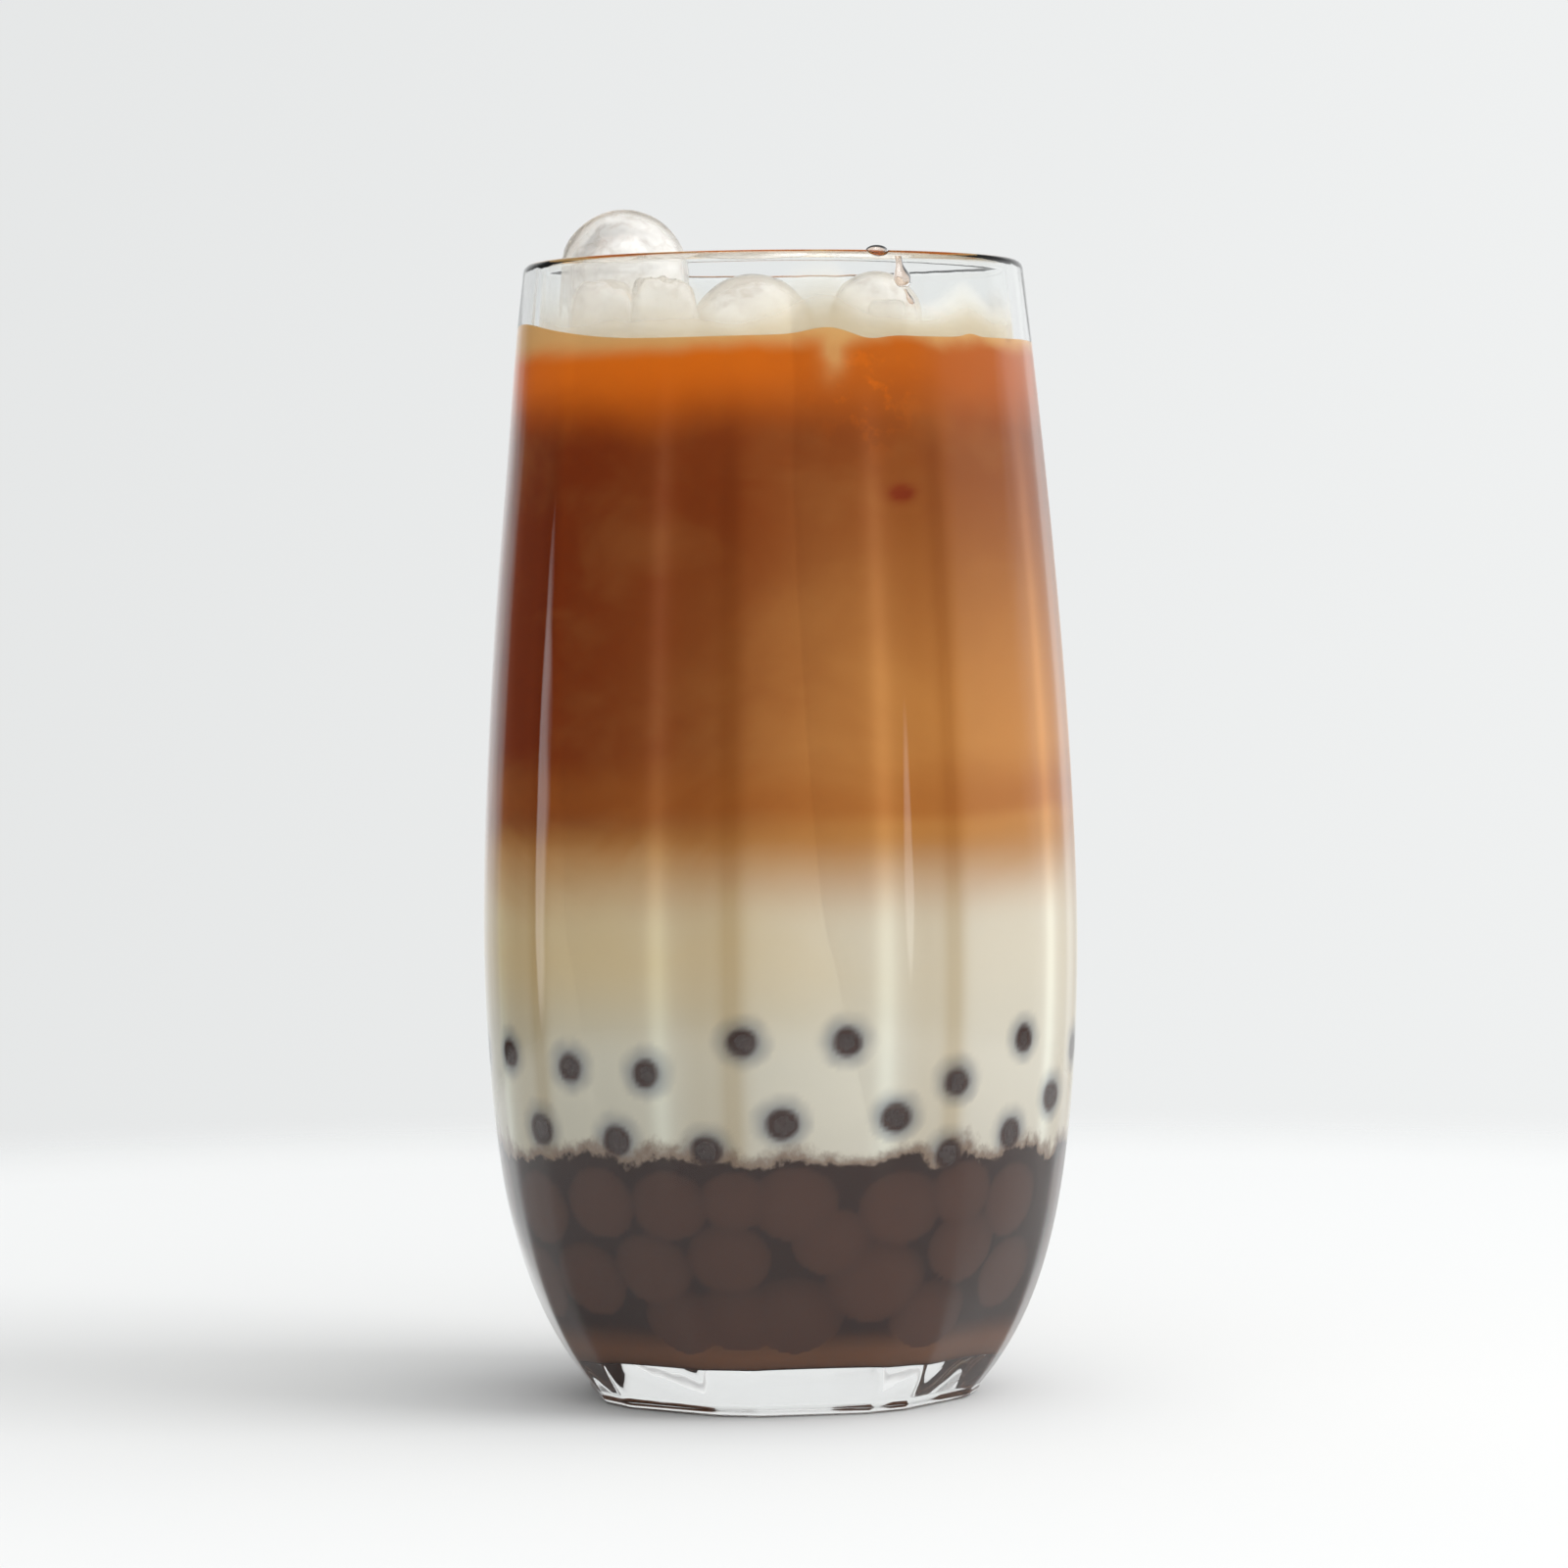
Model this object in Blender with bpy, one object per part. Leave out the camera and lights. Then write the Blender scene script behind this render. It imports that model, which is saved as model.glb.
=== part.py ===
"""Bubble tea in its tall eight-sided glass, with milk, tea, ice and tapioca pearls.

Sizes are in millimetres and become metres when a mesh is made. The glass stands on
z = 0 with its axis on the z axis. The front of the drink faces -Y, and an angle round
the axis is counted from the front in degrees, positive towards +X.
"""

import math
import random

import bmesh
import bpy
from mathutils import Matrix, Vector, noise

MM = 0.001
GAP = 0.3  # between solids that touch in the real thing

# Glass
GLASS_HEIGHT = 144.0
WIDEST_RADIUS = 38.2  # at the ridges
WIDEST_HEIGHT = 59.0
MOUTH_TAPER = 6.5  # how much the radius shrinks from the widest place to the rim
MOUTH_POWER = 1.6
FOOT_TAPER = 7.1  # the even part of the narrowing towards the foot
FOOT_TUCK = 6.9  # the part that comes only near the foot
WALL = 2.1
FOOT_WALL = 0.9  # how much thicker the wall is at the foot
LIP_HEIGHT = 1.3
SIDES = 8
COLUMN_CENTRE = 31.5  # angle of the first narrow column between two panels
COLUMN_HALF = 6.5  # half the angle that a column takes
PANEL_STEP = 8.0  # angle between the points across a panel
PANELS_END = 140.0  # the panels fade out between these two heights
PANELS_FADE = 116.0
INNER_FLATNESS = 0.5  # how far the inside follows the panels
FLOOR_HEIGHT = 7.0
FLOOR_FILLET = 2.0
FOOT_EDGE = 1.2
REST_RING_INNER = 17.0
PUNT_HEIGHT = 1.3
PUNT_RINGS = ((11.0, 0.8), (15.8, 0.35))  # radius, and share of the punt's height

# Contents
HEAP_TOP = 32.4
MILK_BOTTOM = 32.9
MILK_TOP = 70.0
TEA_LEVEL = 133.8
PEARL_RADIUS = 4.6  # of the pearls that lie in the heap
FLOATING_RADIUS = 3.85  # the ones that float in the milk are smaller
PEARL_WALL_GAP = 0.35
PEARL_SIZES = (0.94, 1.03)  # smallest and largest, as shares of the usual radius
PEARL_ROUNDNESS = (0.94, 1.0)
PEARL_SPACING = 2.1  # between neighbours in a row, in radii
POCKET_GAP = 0.4
HEAP_CORE_DEPTH = 1.7  # how far the core of the heap stays behind the wall
HEAP_CORE_TOP = 28.8
HEAP_ROWS = (12.4, 19.6, 26.8)
ICE_POCKET_GAP = 0.35
BAR_SIDES = 12
BAR_STEPS = 4  # rings from a bar's side to the middle of each end
BAR_FOOT = 0.5  # height of a bar's rounded lower end, as a share of its radius
CHUNK_BOXINESS = 3.2  # 2 is a ball, more is closer to a box
CHUNK_UNEVENNESS = 0.10
CHUNK_LUMPS = 1.8  # how closely the uneven places follow each other

OUTER_HEIGHTS = (4, 8, 13, 19, 26, 34, 44, 56, 68, 82, 96, 110, 122, 132, 138)
INNER_HEIGHTS = (138, 132, 120, 92, 78, 64, 50, 40, 31, 23, 17, 13, 9, 7.7)
LIP_STEPS = 4
MILK_HEIGHTS = (MILK_BOTTOM, 38, 44, 50, 56, 63, MILK_TOP)
TEA_HEIGHTS = (MILK_TOP + GAP, 82, 94, 106, 117, 126, TEA_LEVEL)
HEAP_CORE_HEIGHTS = (9, 11, 14, 18, 23, HEAP_CORE_TOP)

# Pearls that float at the wall of the front half: angle and height of each
FRONT_PEARLS = (
    (-66, 45.1), (-46, 44.1), (-27, 43.7), (-7.5, 47.6), (13, 47.6), (36.6, 42.2),
    (56, 46.7), (81.5, 44.6), (-56, 36.2), (-35, 35.4), (-15, 34.5), (0, 37.8),
    (23.3, 38.3), (35.5, 33.4), (53, 35.2), (68.5, 39.1),
)
BACK_PEARLS = 9
BACK_ROWS = (46.0, 37.0)  # heights of the two staggered rows round the back
BACK_START = 100.0
BACK_END = 274.0


# Glass form

def ridge_radius(height):
    """Outer radius of the glass at its ridges."""
    if height > WIDEST_HEIGHT:
        rise = (height - WIDEST_HEIGHT) / (GLASS_HEIGHT - WIDEST_HEIGHT)
        return WIDEST_RADIUS - MOUTH_TAPER * rise ** MOUTH_POWER
    drop = (WIDEST_HEIGHT - height) / WIDEST_HEIGHT
    return WIDEST_RADIUS - FOOT_TAPER * drop ** 2 - FOOT_TUCK * drop ** 6


def cavity_radius(height):
    """Inner radius of the glass at its ridges, with the round between wall and floor."""
    drop = max(0.0, (WIDEST_HEIGHT - height) / WIDEST_HEIGHT)
    radius = ridge_radius(height) - WALL - FOOT_WALL * drop ** 2
    below = max(0.0, 1.0 - (height - FLOOR_HEIGHT) / FLOOR_FILLET)
    return radius - FLOOR_FILLET * (1.0 - math.sqrt(1.0 - min(below, 1.0) ** 2))


def flatness(height):
    """How far the outside is flat-sided: 1 along the panels, 0 at the round rim."""
    fade = (height - PANELS_FADE) / (PANELS_END - PANELS_FADE)
    fade = min(1.0, max(0.0, fade))
    return 1.0 - fade * fade * (3.0 - 2.0 * fade)


def panel_half():
    return 180.0 / SIDES - COLUMN_HALF


def side_factor(angle, flat):
    """Radius at an angle as a share of the radius at the ridges."""
    turn = 360.0 / SIDES
    off = (angle - COLUMN_CENTRE + turn / 2) % turn - turn / 2
    if abs(off) <= COLUMN_HALF:
        half = COLUMN_HALF
    else:
        half = panel_half()
        off = abs(off) - turn / 2
    straight = math.cos(math.radians(half)) / math.cos(math.radians(off))
    return 1.0 + flat * (straight - 1.0)


def outline_angles():
    """Angles of the points round one ring: both edges of each column and its panel."""
    angles = []
    for side in range(SIDES):
        column = COLUMN_CENTRE + side * 360.0 / SIDES
        panel = column + 180.0 / SIDES
        angles += [column - COLUMN_HALF, column + COLUMN_HALF]
        angles += [panel - PANEL_STEP, panel, panel + PANEL_STEP]
    return angles


def at(angle, radius, height):
    """The point at an angle from the front, a distance from the axis and a height."""
    turn = math.radians(angle)
    return Vector((radius * math.sin(turn), -radius * math.cos(turn), height))


def inset_radius(height, inset):
    """How far from the axis a ball of radius inset can be at a height, inside the wall."""
    samples = 24
    limits = []
    for i in range(samples + 1):
        rise = inset * (2.0 * i / samples - 1.0)
        reach = math.sqrt(inset * inset - rise * rise)
        limits.append(cavity_radius(height + rise) - reach)
    return min(limits)


def wall_point(angle, height, inset):
    """A point that far inside the cavity's wall, and the level direction to the wall."""
    flat = INNER_FLATNESS * flatness(height)
    radius = inset_radius(height, inset)
    dent = cavity_radius(height) * (1.0 - side_factor(angle, flat))
    return at(angle, radius - dent, height), at(angle, 1.0, 0.0)


# Mesh helpers

def material(name, colour, roughness, transmission=0.0, ior=1.45):
    made = bpy.data.materials.new(name)
    made.use_nodes = True
    shader = made.node_tree.nodes["Principled BSDF"]
    shader.inputs["Base Color"].default_value = (*colour, 1.0)
    shader.inputs["Roughness"].default_value = roughness
    shader.inputs["Metallic"].default_value = 0.0
    shader.inputs["Transmission Weight"].default_value = transmission
    shader.inputs["IOR"].default_value = ior
    made.diffuse_color = (*colour, 1.0)
    return made


def finished(name, mesh_data, look, crease=40.0):
    """Turns a bmesh in millimetres into a named object in metres."""
    bmesh.ops.recalc_face_normals(mesh_data, faces=mesh_data.faces[:])
    bmesh.ops.scale(mesh_data, vec=(MM, MM, MM), verts=mesh_data.verts[:])
    mesh = bpy.data.meshes.new(name)
    mesh_data.to_mesh(mesh)
    mesh_data.free()
    mesh.shade_smooth()
    mesh.set_sharp_from_angle(angle=math.radians(crease))
    mesh.materials.append(look)
    made = bpy.data.objects.new(name, mesh)
    bpy.context.scene.collection.objects.link(made)
    return made


def turned(rings):
    """A closed body of flat-sided rings, each (radius, height, flatness).

    The first and the last ring are closed with a fan round the axis."""
    body = bmesh.new()
    angles = outline_angles()
    count = len(angles)
    loops = []
    for radius, height, flat in rings:
        points = [at(a, radius * side_factor(a, flat), height) for a in angles]
        loops.append([body.verts.new(point) for point in points])
    for lower, upper in zip(loops, loops[1:]):
        for i in range(count):
            j = (i + 1) % count
            body.faces.new((lower[i], lower[j], upper[j], upper[i]))
    for loop, height in ((loops[0], rings[0][1]), (loops[-1], rings[-1][1])):
        hub = body.verts.new((0.0, 0.0, height))
        for i in range(count):
            body.faces.new((loop[i], loop[(i + 1) % count], hub))
    return body


def apply_boolean(target, others, operation):
    """Joins or cuts with a whole collection at once, applies it and removes the others."""
    group = bpy.data.collections.new("operands")
    bpy.context.scene.collection.children.link(group)
    for other in others:
        bpy.context.scene.collection.objects.unlink(other)
        group.objects.link(other)
    change = target.modifiers.new("join", "BOOLEAN")
    change.operation = operation
    change.solver = "EXACT"
    change.operand_type = "COLLECTION"
    change.collection = group
    bpy.context.view_layer.update()
    graph = bpy.context.evaluated_depsgraph_get()
    mesh = bpy.data.meshes.new_from_object(target.evaluated_get(graph))
    target.modifiers.clear()
    look = target.data.materials[0]
    target.data = mesh
    mesh.materials.clear()
    mesh.materials.append(look)
    for other in others:
        bpy.data.objects.remove(other)
    bpy.data.collections.remove(group)


# Glass

def glass(look):
    """The tumbler: foot with a shallow punt, flat-sided wall, round lip, cavity."""
    edge = ridge_radius(FOOT_EDGE)
    bevel = FOOT_EDGE * (1.0 - math.sqrt(0.5))
    rings = [(radius, PUNT_HEIGHT * share, 0.0) for radius, share in PUNT_RINGS]
    rings += [
        (REST_RING_INNER, 0.0, 0.0),
        (edge - FOOT_EDGE, 0.0, 1.0),
        (edge - bevel, bevel, 1.0),
        (edge, FOOT_EDGE, 1.0),
    ]
    rings += [(ridge_radius(h), h, flatness(h)) for h in OUTER_HEIGHTS]
    start = GLASS_HEIGHT - LIP_HEIGHT
    middle = ridge_radius(start) - WALL / 2
    for step in range(LIP_STEPS + 1):
        turn = math.pi * step / LIP_STEPS
        radius = middle + WALL / 2 * math.cos(turn)
        rings.append((radius, start + LIP_HEIGHT * math.sin(turn), 0.0))
    rings += [(cavity_radius(h), h, INNER_FLATNESS * flatness(h)) for h in INNER_HEIGHTS]
    floor_edge = cavity_radius(FLOOR_HEIGHT)
    rings.append((floor_edge, FLOOR_HEIGHT, INNER_FLATNESS))
    return finished("glass", turned(rings), look, crease=12.0)


# Drink

def layer(name, heights, look):
    """A layer of drink that fills the cavity between its first and last height."""
    rings = []
    for height in heights:
        flat = INNER_FLATNESS * flatness(height)
        rings.append((cavity_radius(height) - GAP, height, flat))
    return finished(name, turned(rings), look)


def milk(look, pearls):
    made = layer("milk", MILK_HEIGHTS, look)
    pockets = [pearl_body("pocket", spot, look, POCKET_GAP) for spot in pearls]
    apply_boolean(made, pockets, "DIFFERENCE")
    return made


def tea(look, pockets):
    made = layer("tea", TEA_HEIGHTS, look)
    apply_boolean(made, pockets, "DIFFERENCE")
    return made


# Tapioca pearls

class Spot:
    """Where a pearl lies: its centre, its own radius, shape and direction to the wall."""

    def __init__(self, centre, radius, outward, squash):
        self.centre = centre
        self.radius = radius
        self.outward = outward
        self.squash = squash


def pearl_at_wall(angle, height, usual_radius, draw):
    """A pearl just off the wall, a little uneven in size and roundness."""
    radius = usual_radius * draw.uniform(*PEARL_SIZES)
    centre, outward = wall_point(angle, height, radius + PEARL_WALL_GAP)
    return Spot(centre, radius, outward, draw.uniform(*PEARL_ROUNDNESS))


def pearl_body(name, spot, look, grow=0.0):
    """A low ball with one corner towards the wall."""
    ball = bmesh.new()
    bmesh.ops.create_icosphere(ball, subdivisions=2, radius=spot.radius + grow)
    bmesh.ops.scale(ball, vec=(spot.squash, 1.0, 1.0), verts=ball.verts[:])
    turn = Vector((0, 0, 1)).rotation_difference(spot.outward).to_matrix().to_4x4()
    bmesh.ops.transform(ball, matrix=Matrix.Translation(spot.centre) @ turn, verts=ball.verts[:])
    return finished(name, ball, look)


def floating_pearls(draw):
    """The pearls at the wall of the milk: those in front, then two rows round the back."""
    spots = []
    for angle, height in FRONT_PEARLS:
        spots.append(pearl_at_wall(angle, height, FLOATING_RADIUS, draw))
    for i in range(BACK_PEARLS):
        angle = BACK_START + (BACK_END - BACK_START) * i / (BACK_PEARLS - 1)
        height = BACK_ROWS[i % 2] + draw.uniform(-2.0, 1.5)
        angle += draw.uniform(-2.5, 2.5)
        spots.append(pearl_at_wall(angle, height, FLOATING_RADIUS, draw))
    return spots


def too_close(centre, radius, spots):
    return any((centre - s.centre).length < radius + s.radius + 2 * GAP for s in spots)


def heap_spots(floating, draw):
    """The pearls of the heap that show: rings of them against the wall."""
    spots = []
    for height in HEAP_ROWS:
        middle = cavity_radius(height) - PEARL_RADIUS - PEARL_WALL_GAP
        count = int(2 * math.pi * middle / (PEARL_SPACING * PEARL_RADIUS))
        start = draw.uniform(0.0, 360.0)
        for i in range(count):
            angle = start + 360.0 * i / count + draw.uniform(-1.5, 1.5)
            rise = draw.uniform(-0.7, 0.7)
            spots.append(pearl_at_wall(angle, height + rise, PEARL_RADIUS, draw))
    for spot in spots:
        spot.centre.z = min(spot.centre.z, HEAP_TOP - spot.radius)
        spot.centre.z = max(spot.centre.z, FLOOR_HEIGHT + GAP + spot.radius)
        while too_close(spot.centre, spot.radius, floating):
            spot.centre.z -= 0.4
        keep_off_wall(spot)
    return spots


def keep_off_wall(spot):
    """Moves a pearl towards the axis until it is clear of the wall at its height."""
    reach = math.hypot(spot.centre.x, spot.centre.y)
    angle = math.degrees(math.atan2(spot.centre.x, -spot.centre.y))
    limit, _ = wall_point(angle, spot.centre.z, spot.radius + PEARL_WALL_GAP)
    shift = min(1.0, math.hypot(limit.x, limit.y) / max(reach, GAP))
    spot.centre.x *= shift
    spot.centre.y *= shift


def pearl_heap(look, floating, draw):
    """The pearls at the bottom as one body: a core with the pearls that show fused on."""
    rings = [(cavity_radius(FLOOR_HEIGHT) - HEAP_CORE_DEPTH, FLOOR_HEIGHT + GAP, 0.0)]
    for height in HEAP_CORE_HEIGHTS:
        rings.append((cavity_radius(height) - HEAP_CORE_DEPTH, height, INNER_FLATNESS))
    core = finished("pearl_heap", turned(rings), look)
    balls = [pearl_body("ball", spot, look) for spot in heap_spots(floating, draw)]
    apply_boolean(core, balls, "UNION")
    return core


# Ice

def bullet(name, base, top, radius, lean, look, grow=0.0):
    """A piece of bullet ice: a round bar with a domed top and a rounded lower end."""
    body = bmesh.new()
    levels = []
    dome = radius + grow
    low = base.z - grow
    high = top - dome + grow
    for step in range(1, BAR_STEPS + 1):
        turn = math.pi / 2 * step / BAR_STEPS
        levels.append((dome * math.sin(turn), low + dome * BAR_FOOT * (1 - math.cos(turn))))
    for step in range(BAR_STEPS):
        turn = math.pi / 2 * step / BAR_STEPS
        levels.append((dome * math.cos(turn), high + dome * math.sin(turn)))
    loops = []
    for wide, height in levels:
        shift = Vector(lean) * (height - base.z)
        loop = []
        for i in range(BAR_SIDES):
            turn = 2 * math.pi * i / BAR_SIDES
            out = Vector((wide * math.cos(turn), wide * math.sin(turn)))
            loop.append(body.verts.new((base.x + shift.x + out.x, base.y + shift.y + out.y, height)))
        loops.append(loop)
    for lower, upper in zip(loops, loops[1:]):
        for i in range(BAR_SIDES):
            j = (i + 1) % BAR_SIDES
            body.faces.new((lower[i], lower[j], upper[j], upper[i]))
    for loop, height in ((loops[0], low), (loops[-1], high + dome)):
        shift = Vector(lean) * (height - base.z)
        hub = body.verts.new((base.x + shift.x, base.y + shift.y, height))
        for i in range(BAR_SIDES):
            body.faces.new((loop[i], loop[(i + 1) % BAR_SIDES], hub))
    return finished(name, body, look)


def chunk(name, centre, half, seed, look, grow=0.0):
    """A broken piece of ice: a boxy ball with an uneven surface."""
    body = bmesh.new()
    bmesh.ops.create_icosphere(body, subdivisions=2, radius=1.0)
    size = Vector(half)
    for vert in body.verts:
        direction = vert.co.normalized()
        spread = sum(abs(part) ** CHUNK_BOXINESS for part in direction) ** (-1.0 / CHUNK_BOXINESS)
        lump = noise.noise(direction * CHUNK_LUMPS + Vector((seed, 0.0, 0.0)))
        rough = 1.0 + CHUNK_UNEVENNESS * lump
        point = direction * spread * rough
        vert.co = Vector((point.x * size.x, point.y * size.y, point.z * size.z))
        vert.co += direction * grow
        vert.co += centre
    return finished(name, body, look)


ICE_BARS = {
    # name: lower end, height of the top, radius, lean in x and y for each mm of height
    "ice_dome": (Vector((-19.0, 8.3, 122.0)), 151.6, 8.3, (-0.012, 0.0)),
    "ice_middle": (Vector((-2.6, -7.6, 117.0)), 142.2, 8.6, (0.0, 0.0)),
    "ice_right": (Vector((12.6, -9.6, 119.0)), 142.3, 5.9, (0.01, 0.0)),
}
ICE_CHUNKS = {
    # name: centre, half sizes, seed of its unevenness
    "ice_block": (Vector((-21.3, -11.4, 131.5)), (4.4, 4.6, 10.6), 3.1),
    "ice_lump": (Vector((-13.4, -18.2, 133.2)), (4.3, 3.9, 8.6), 8.4),
    "ice_bit": (Vector((13.7, -23.6, 134.8)), (2.5, 2.3, 3.5), 5.7),
}


def ice(look, grow=0.0, prefix=""):
    """Every piece of ice, or with a prefix and growth the pockets round them."""
    pieces = []
    for name, (base, top, radius, lean) in ICE_BARS.items():
        pieces.append(bullet(prefix + name, base, top, radius, lean, look, grow))
    for name, (centre, half, seed) in ICE_CHUNKS.items():
        pieces.append(chunk(prefix + name, centre, half, seed, look, grow))
    return pieces


def build():
    for old in list(bpy.data.objects):
        bpy.data.objects.remove(old)
    draw = random.Random(11)
    clear = material("clear_glass", (0.95, 0.97, 0.97), 0.03, transmission=0.95, ior=1.5)
    frozen = material("ice", (0.93, 0.93, 0.92), 0.1, transmission=0.9, ior=1.31)
    dark = material("tapioca", (0.045, 0.022, 0.017), 0.25)
    cream = material("milk_layer", (0.74, 0.66, 0.50), 0.35)
    brown = material("milk_tea", (0.42, 0.17, 0.05), 0.3)

    glass(clear)
    spots = floating_pearls(draw)
    pearl_heap(dark, spots, draw)
    milk(cream, spots)
    ice(frozen)
    tea(brown, ice(frozen, grow=ICE_POCKET_GAP, prefix="pocket_"))
    for number, spot in enumerate(spots, start=1):
        pearl_body(f"pearl_{number:02d}", spot, dark)


build()
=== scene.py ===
"""Bubble tea in its tall eight-sided glass: finish of every piece, light and camera.

The shapes repeat the part's own formulas, in millimetres, with more points. The front
of the drink faces -Y, and an angle round the axis is counted from the front in degrees,
positive towards +X. Places in the looks are in metres.
"""

import math
import random

import bpy
import numpy as np
from mathutils import Matrix, Vector, noise


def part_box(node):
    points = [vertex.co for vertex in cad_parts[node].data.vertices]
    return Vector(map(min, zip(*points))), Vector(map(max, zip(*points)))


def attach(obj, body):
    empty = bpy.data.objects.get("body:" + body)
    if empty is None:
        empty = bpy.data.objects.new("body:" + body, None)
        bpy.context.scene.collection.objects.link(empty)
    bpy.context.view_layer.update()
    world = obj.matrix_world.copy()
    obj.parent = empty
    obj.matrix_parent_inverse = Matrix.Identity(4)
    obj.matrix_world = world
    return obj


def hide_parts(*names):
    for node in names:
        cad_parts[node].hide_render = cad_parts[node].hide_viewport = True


MM = 0.001
SHARP_ANGLE = 50.0  # edges that turn more than this stay sharp

# Glass: the part's own sizes, where it has them, but for the widest radius
GLASS_HEIGHT = 144.0
WIDEST_RADIUS = 38.18  # 0.02 under the part's, so that the rounder panels stay inside it
WIDEST_HEIGHT = 59.0
MOUTH_TAPER = 6.5
MOUTH_POWER = 1.6
FOOT_TAPER = 7.1
FOOT_TUCK = 6.9
WALL = 2.1
FOOT_WALL = 0.9
LIP_HEIGHT = 1.3
LIP_START = GLASS_HEIGHT - LIP_HEIGHT
WALL_TOP = LIP_START - 0.6  # height of the last ring below the lip
SIDES = 8
COLUMN_CENTRE = 31.5
COLUMN_HALF = 6.5
PANELS_END = 140.0
PANELS_FADE = 116.0
OUTER_FLATNESS = 0.38  # flatter panels, as in the part, show a clear band beside the drink
FLAT_FOOT = (27.0, 9.0)  # between these heights the panels turn as flat as in the part
INNER_FLATNESS = 0.5
FLOOR_HEIGHT = 7.0
FLOOR_FILLET = 2.0
FOOT_EDGE = 1.2
REST_RING_INNER = 17.0
PUNT_HEIGHT = 1.3
PUNT_RINGS = ((0.12, 1.0), (0.3, 0.97), (0.5, 0.86), (0.7, 0.62), (0.86, 0.3), (0.95, 0.1))
RIDGE_SHARPNESS = 190.0  # higher is a sharper ridge
INNER_SHARPNESS = 60.0
RIDGE_OFFSETS = (-2.4, -1.5, -0.9, -0.45, 0.0, 0.45, 0.9, 1.5, 2.4)  # points round each ridge
COLUMN_OFFSETS = (-1.8, 0.0, 1.8)
PANEL_OFFSETS = np.linspace(-11.5, 11.5, 11)

# Drink
SEAM = 38.0  # height where the piece with the heap's syrup meets the milk piece
MILK_TOP = 70.15  # in the middle of the gap between the part's milk and tea
TEA_LEVEL = 133.8
REACH = 0.08  # how far the drink goes into the glass wall, so that no air shows
CAP_RADIUS = 12.0  # of the inner ring on a flat end
WALL_STEP = 0.75  # angle between points round the drink's wall
EDGE_DROP = 0.3  # how far the tea's line at the wall is below its level
# Where that line rises or dips: angle, width in degrees and rise
EDGE_WAVES = ((-78.0, 24.0, 2.6), (12.0, 6.0, 0.8), (22.0, 4.5, -0.5), (50.0, 3.0, 0.4))
# The tea's top, inwards from the wall: share of the radius, and how far under the level
TEA_TOP_RINGS = ((0.985, 0.35), (0.95, 0.6), (0.8, 0.75), (0.6, 0.8), (0.4, 0.8), (0.2, 0.8))
STREAKS_HIGH = (132.0, 112.0)  # the streaks of light fade in between these heights
STREAKS_LOW = (27.0, 36.0)
FILM_LOW = 4.5  # how far up the milk film goes from the tea's line, least and most
FILM_HIGH = 9.0
FILM_SINK = 0.3  # how far it starts below that line
MIRROR_OVERLAP = 0.6  # how far the plate under the syrup goes into the wall

# Pearls in the milk
CONTACT_HIGH = 0.27  # how far the pearls of the milk are pressed flat on the wall, by row
CONTACT_LOW = 0.36
ROW_SPLIT = 41.0
PEARL_POKE = 0.11  # how far their flat spots go into the glass wall, just past the drink
PEARL_LUMPS = 0.05
NO_PEARL = 99.0  # cover where no pearl is behind the wall
ABOUT_WALL = 35.0  # radius that turns angles at the wall into widths

# Pearls of the heap
HEAP_INSET = 0.1  # how far they stay behind the wall, at least
HEAP_TOP = 32.3
HEAP_ROWS = (12.8, 19.6, 26.8)
HEAP_BACK = range(84, 284, 16)
HEAP_SIZES = (4.3, 4.8)
HEAP_NARROWS = 15.0  # pearls lower than this stand further in, as the foot narrows
SWELL_START = 22.0  # pearls higher than this lift the syrup's edge
SWELL_BASE = 28.0
# Those that can be told apart in front: angle, height and radius of each
HEAP_FRONT = (
    (-41, 27.2, 4.4), (-24, 27.3, 4.3), (-29.7, 19.3, 4.5), (-11.6, 20.9, 4.3), (2.6, 27.6, 4.6),
    (10.4, 22.9, 4.2), (21, 17.8, 5.2), (2.5, 13.6, 5.0), (25.4, 26.8, 4.6), (42.2, 21.5, 4.5),
    (-10.5, 13.4, 4.4), (-48, 17.5, 4.6), (-24, 12.8, 4.2), (36, 13.2, 4.4), (56, 26.6, 4.5),
    (60, 17.3, 4.5), (-60, 26.0, 4.5), (-68, 16.5, 4.6), (-10, 28.0, 3.6), (40, 28.2, 4.0),
)

# Marks on the tea: how uneven each kind is, then strength, angle, height and two sizes of each
TEA_SPOTS = {
    "cream": (0.8, ((1.0, 13.0, 131.0, 1.7, 2.6), (0.7, 16.0, 133.4, 1.6, 1.2))),
    "shade": (0.6, (
        (1.0, -9.0, 115.3, 4.6, 0.32), (0.8, -58.0, 90.0, 3.0, 5.0), (0.6, -22.0, 96.0, 4.0, 3.5),
        (0.5, -38.0, 83.0, 4.0, 3.0), (0.9, 66.0, 133.5, 1.4, 0.6),
    )),
    "red": (1.2, ((1.0, 27.5, 114.0, 2.0, 1.0),)),
    "mottled": (0.0, ((1.0, 21.0, 128.0, 5.5, 6.0),)),
}

# Ice
BAR_FOOT = 0.5  # height of a bar's rounded lower end, as a share of its radius
BAR_LUMPS = 0.035
BLOCKY = 4.5  # higher is a squarer bit of broken ice

# Drops at the rim
DROP_SINK = 0.25  # how far the middle of its back is inside the wall
BEAD_ANGLE = 24.6
BEAD_SINK = 0.15
BEAD_SIZE = (1.5, 0.95, 0.8)  # along the lip, across it and up


# Glass form

def smooth_step(low, high, value):
    """0 at low, 1 at high and a soft run between them."""
    part = np.clip((value - low) / (high - low), 0.0, 1.0)
    return part * part * (3.0 - 2.0 * part)


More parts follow.
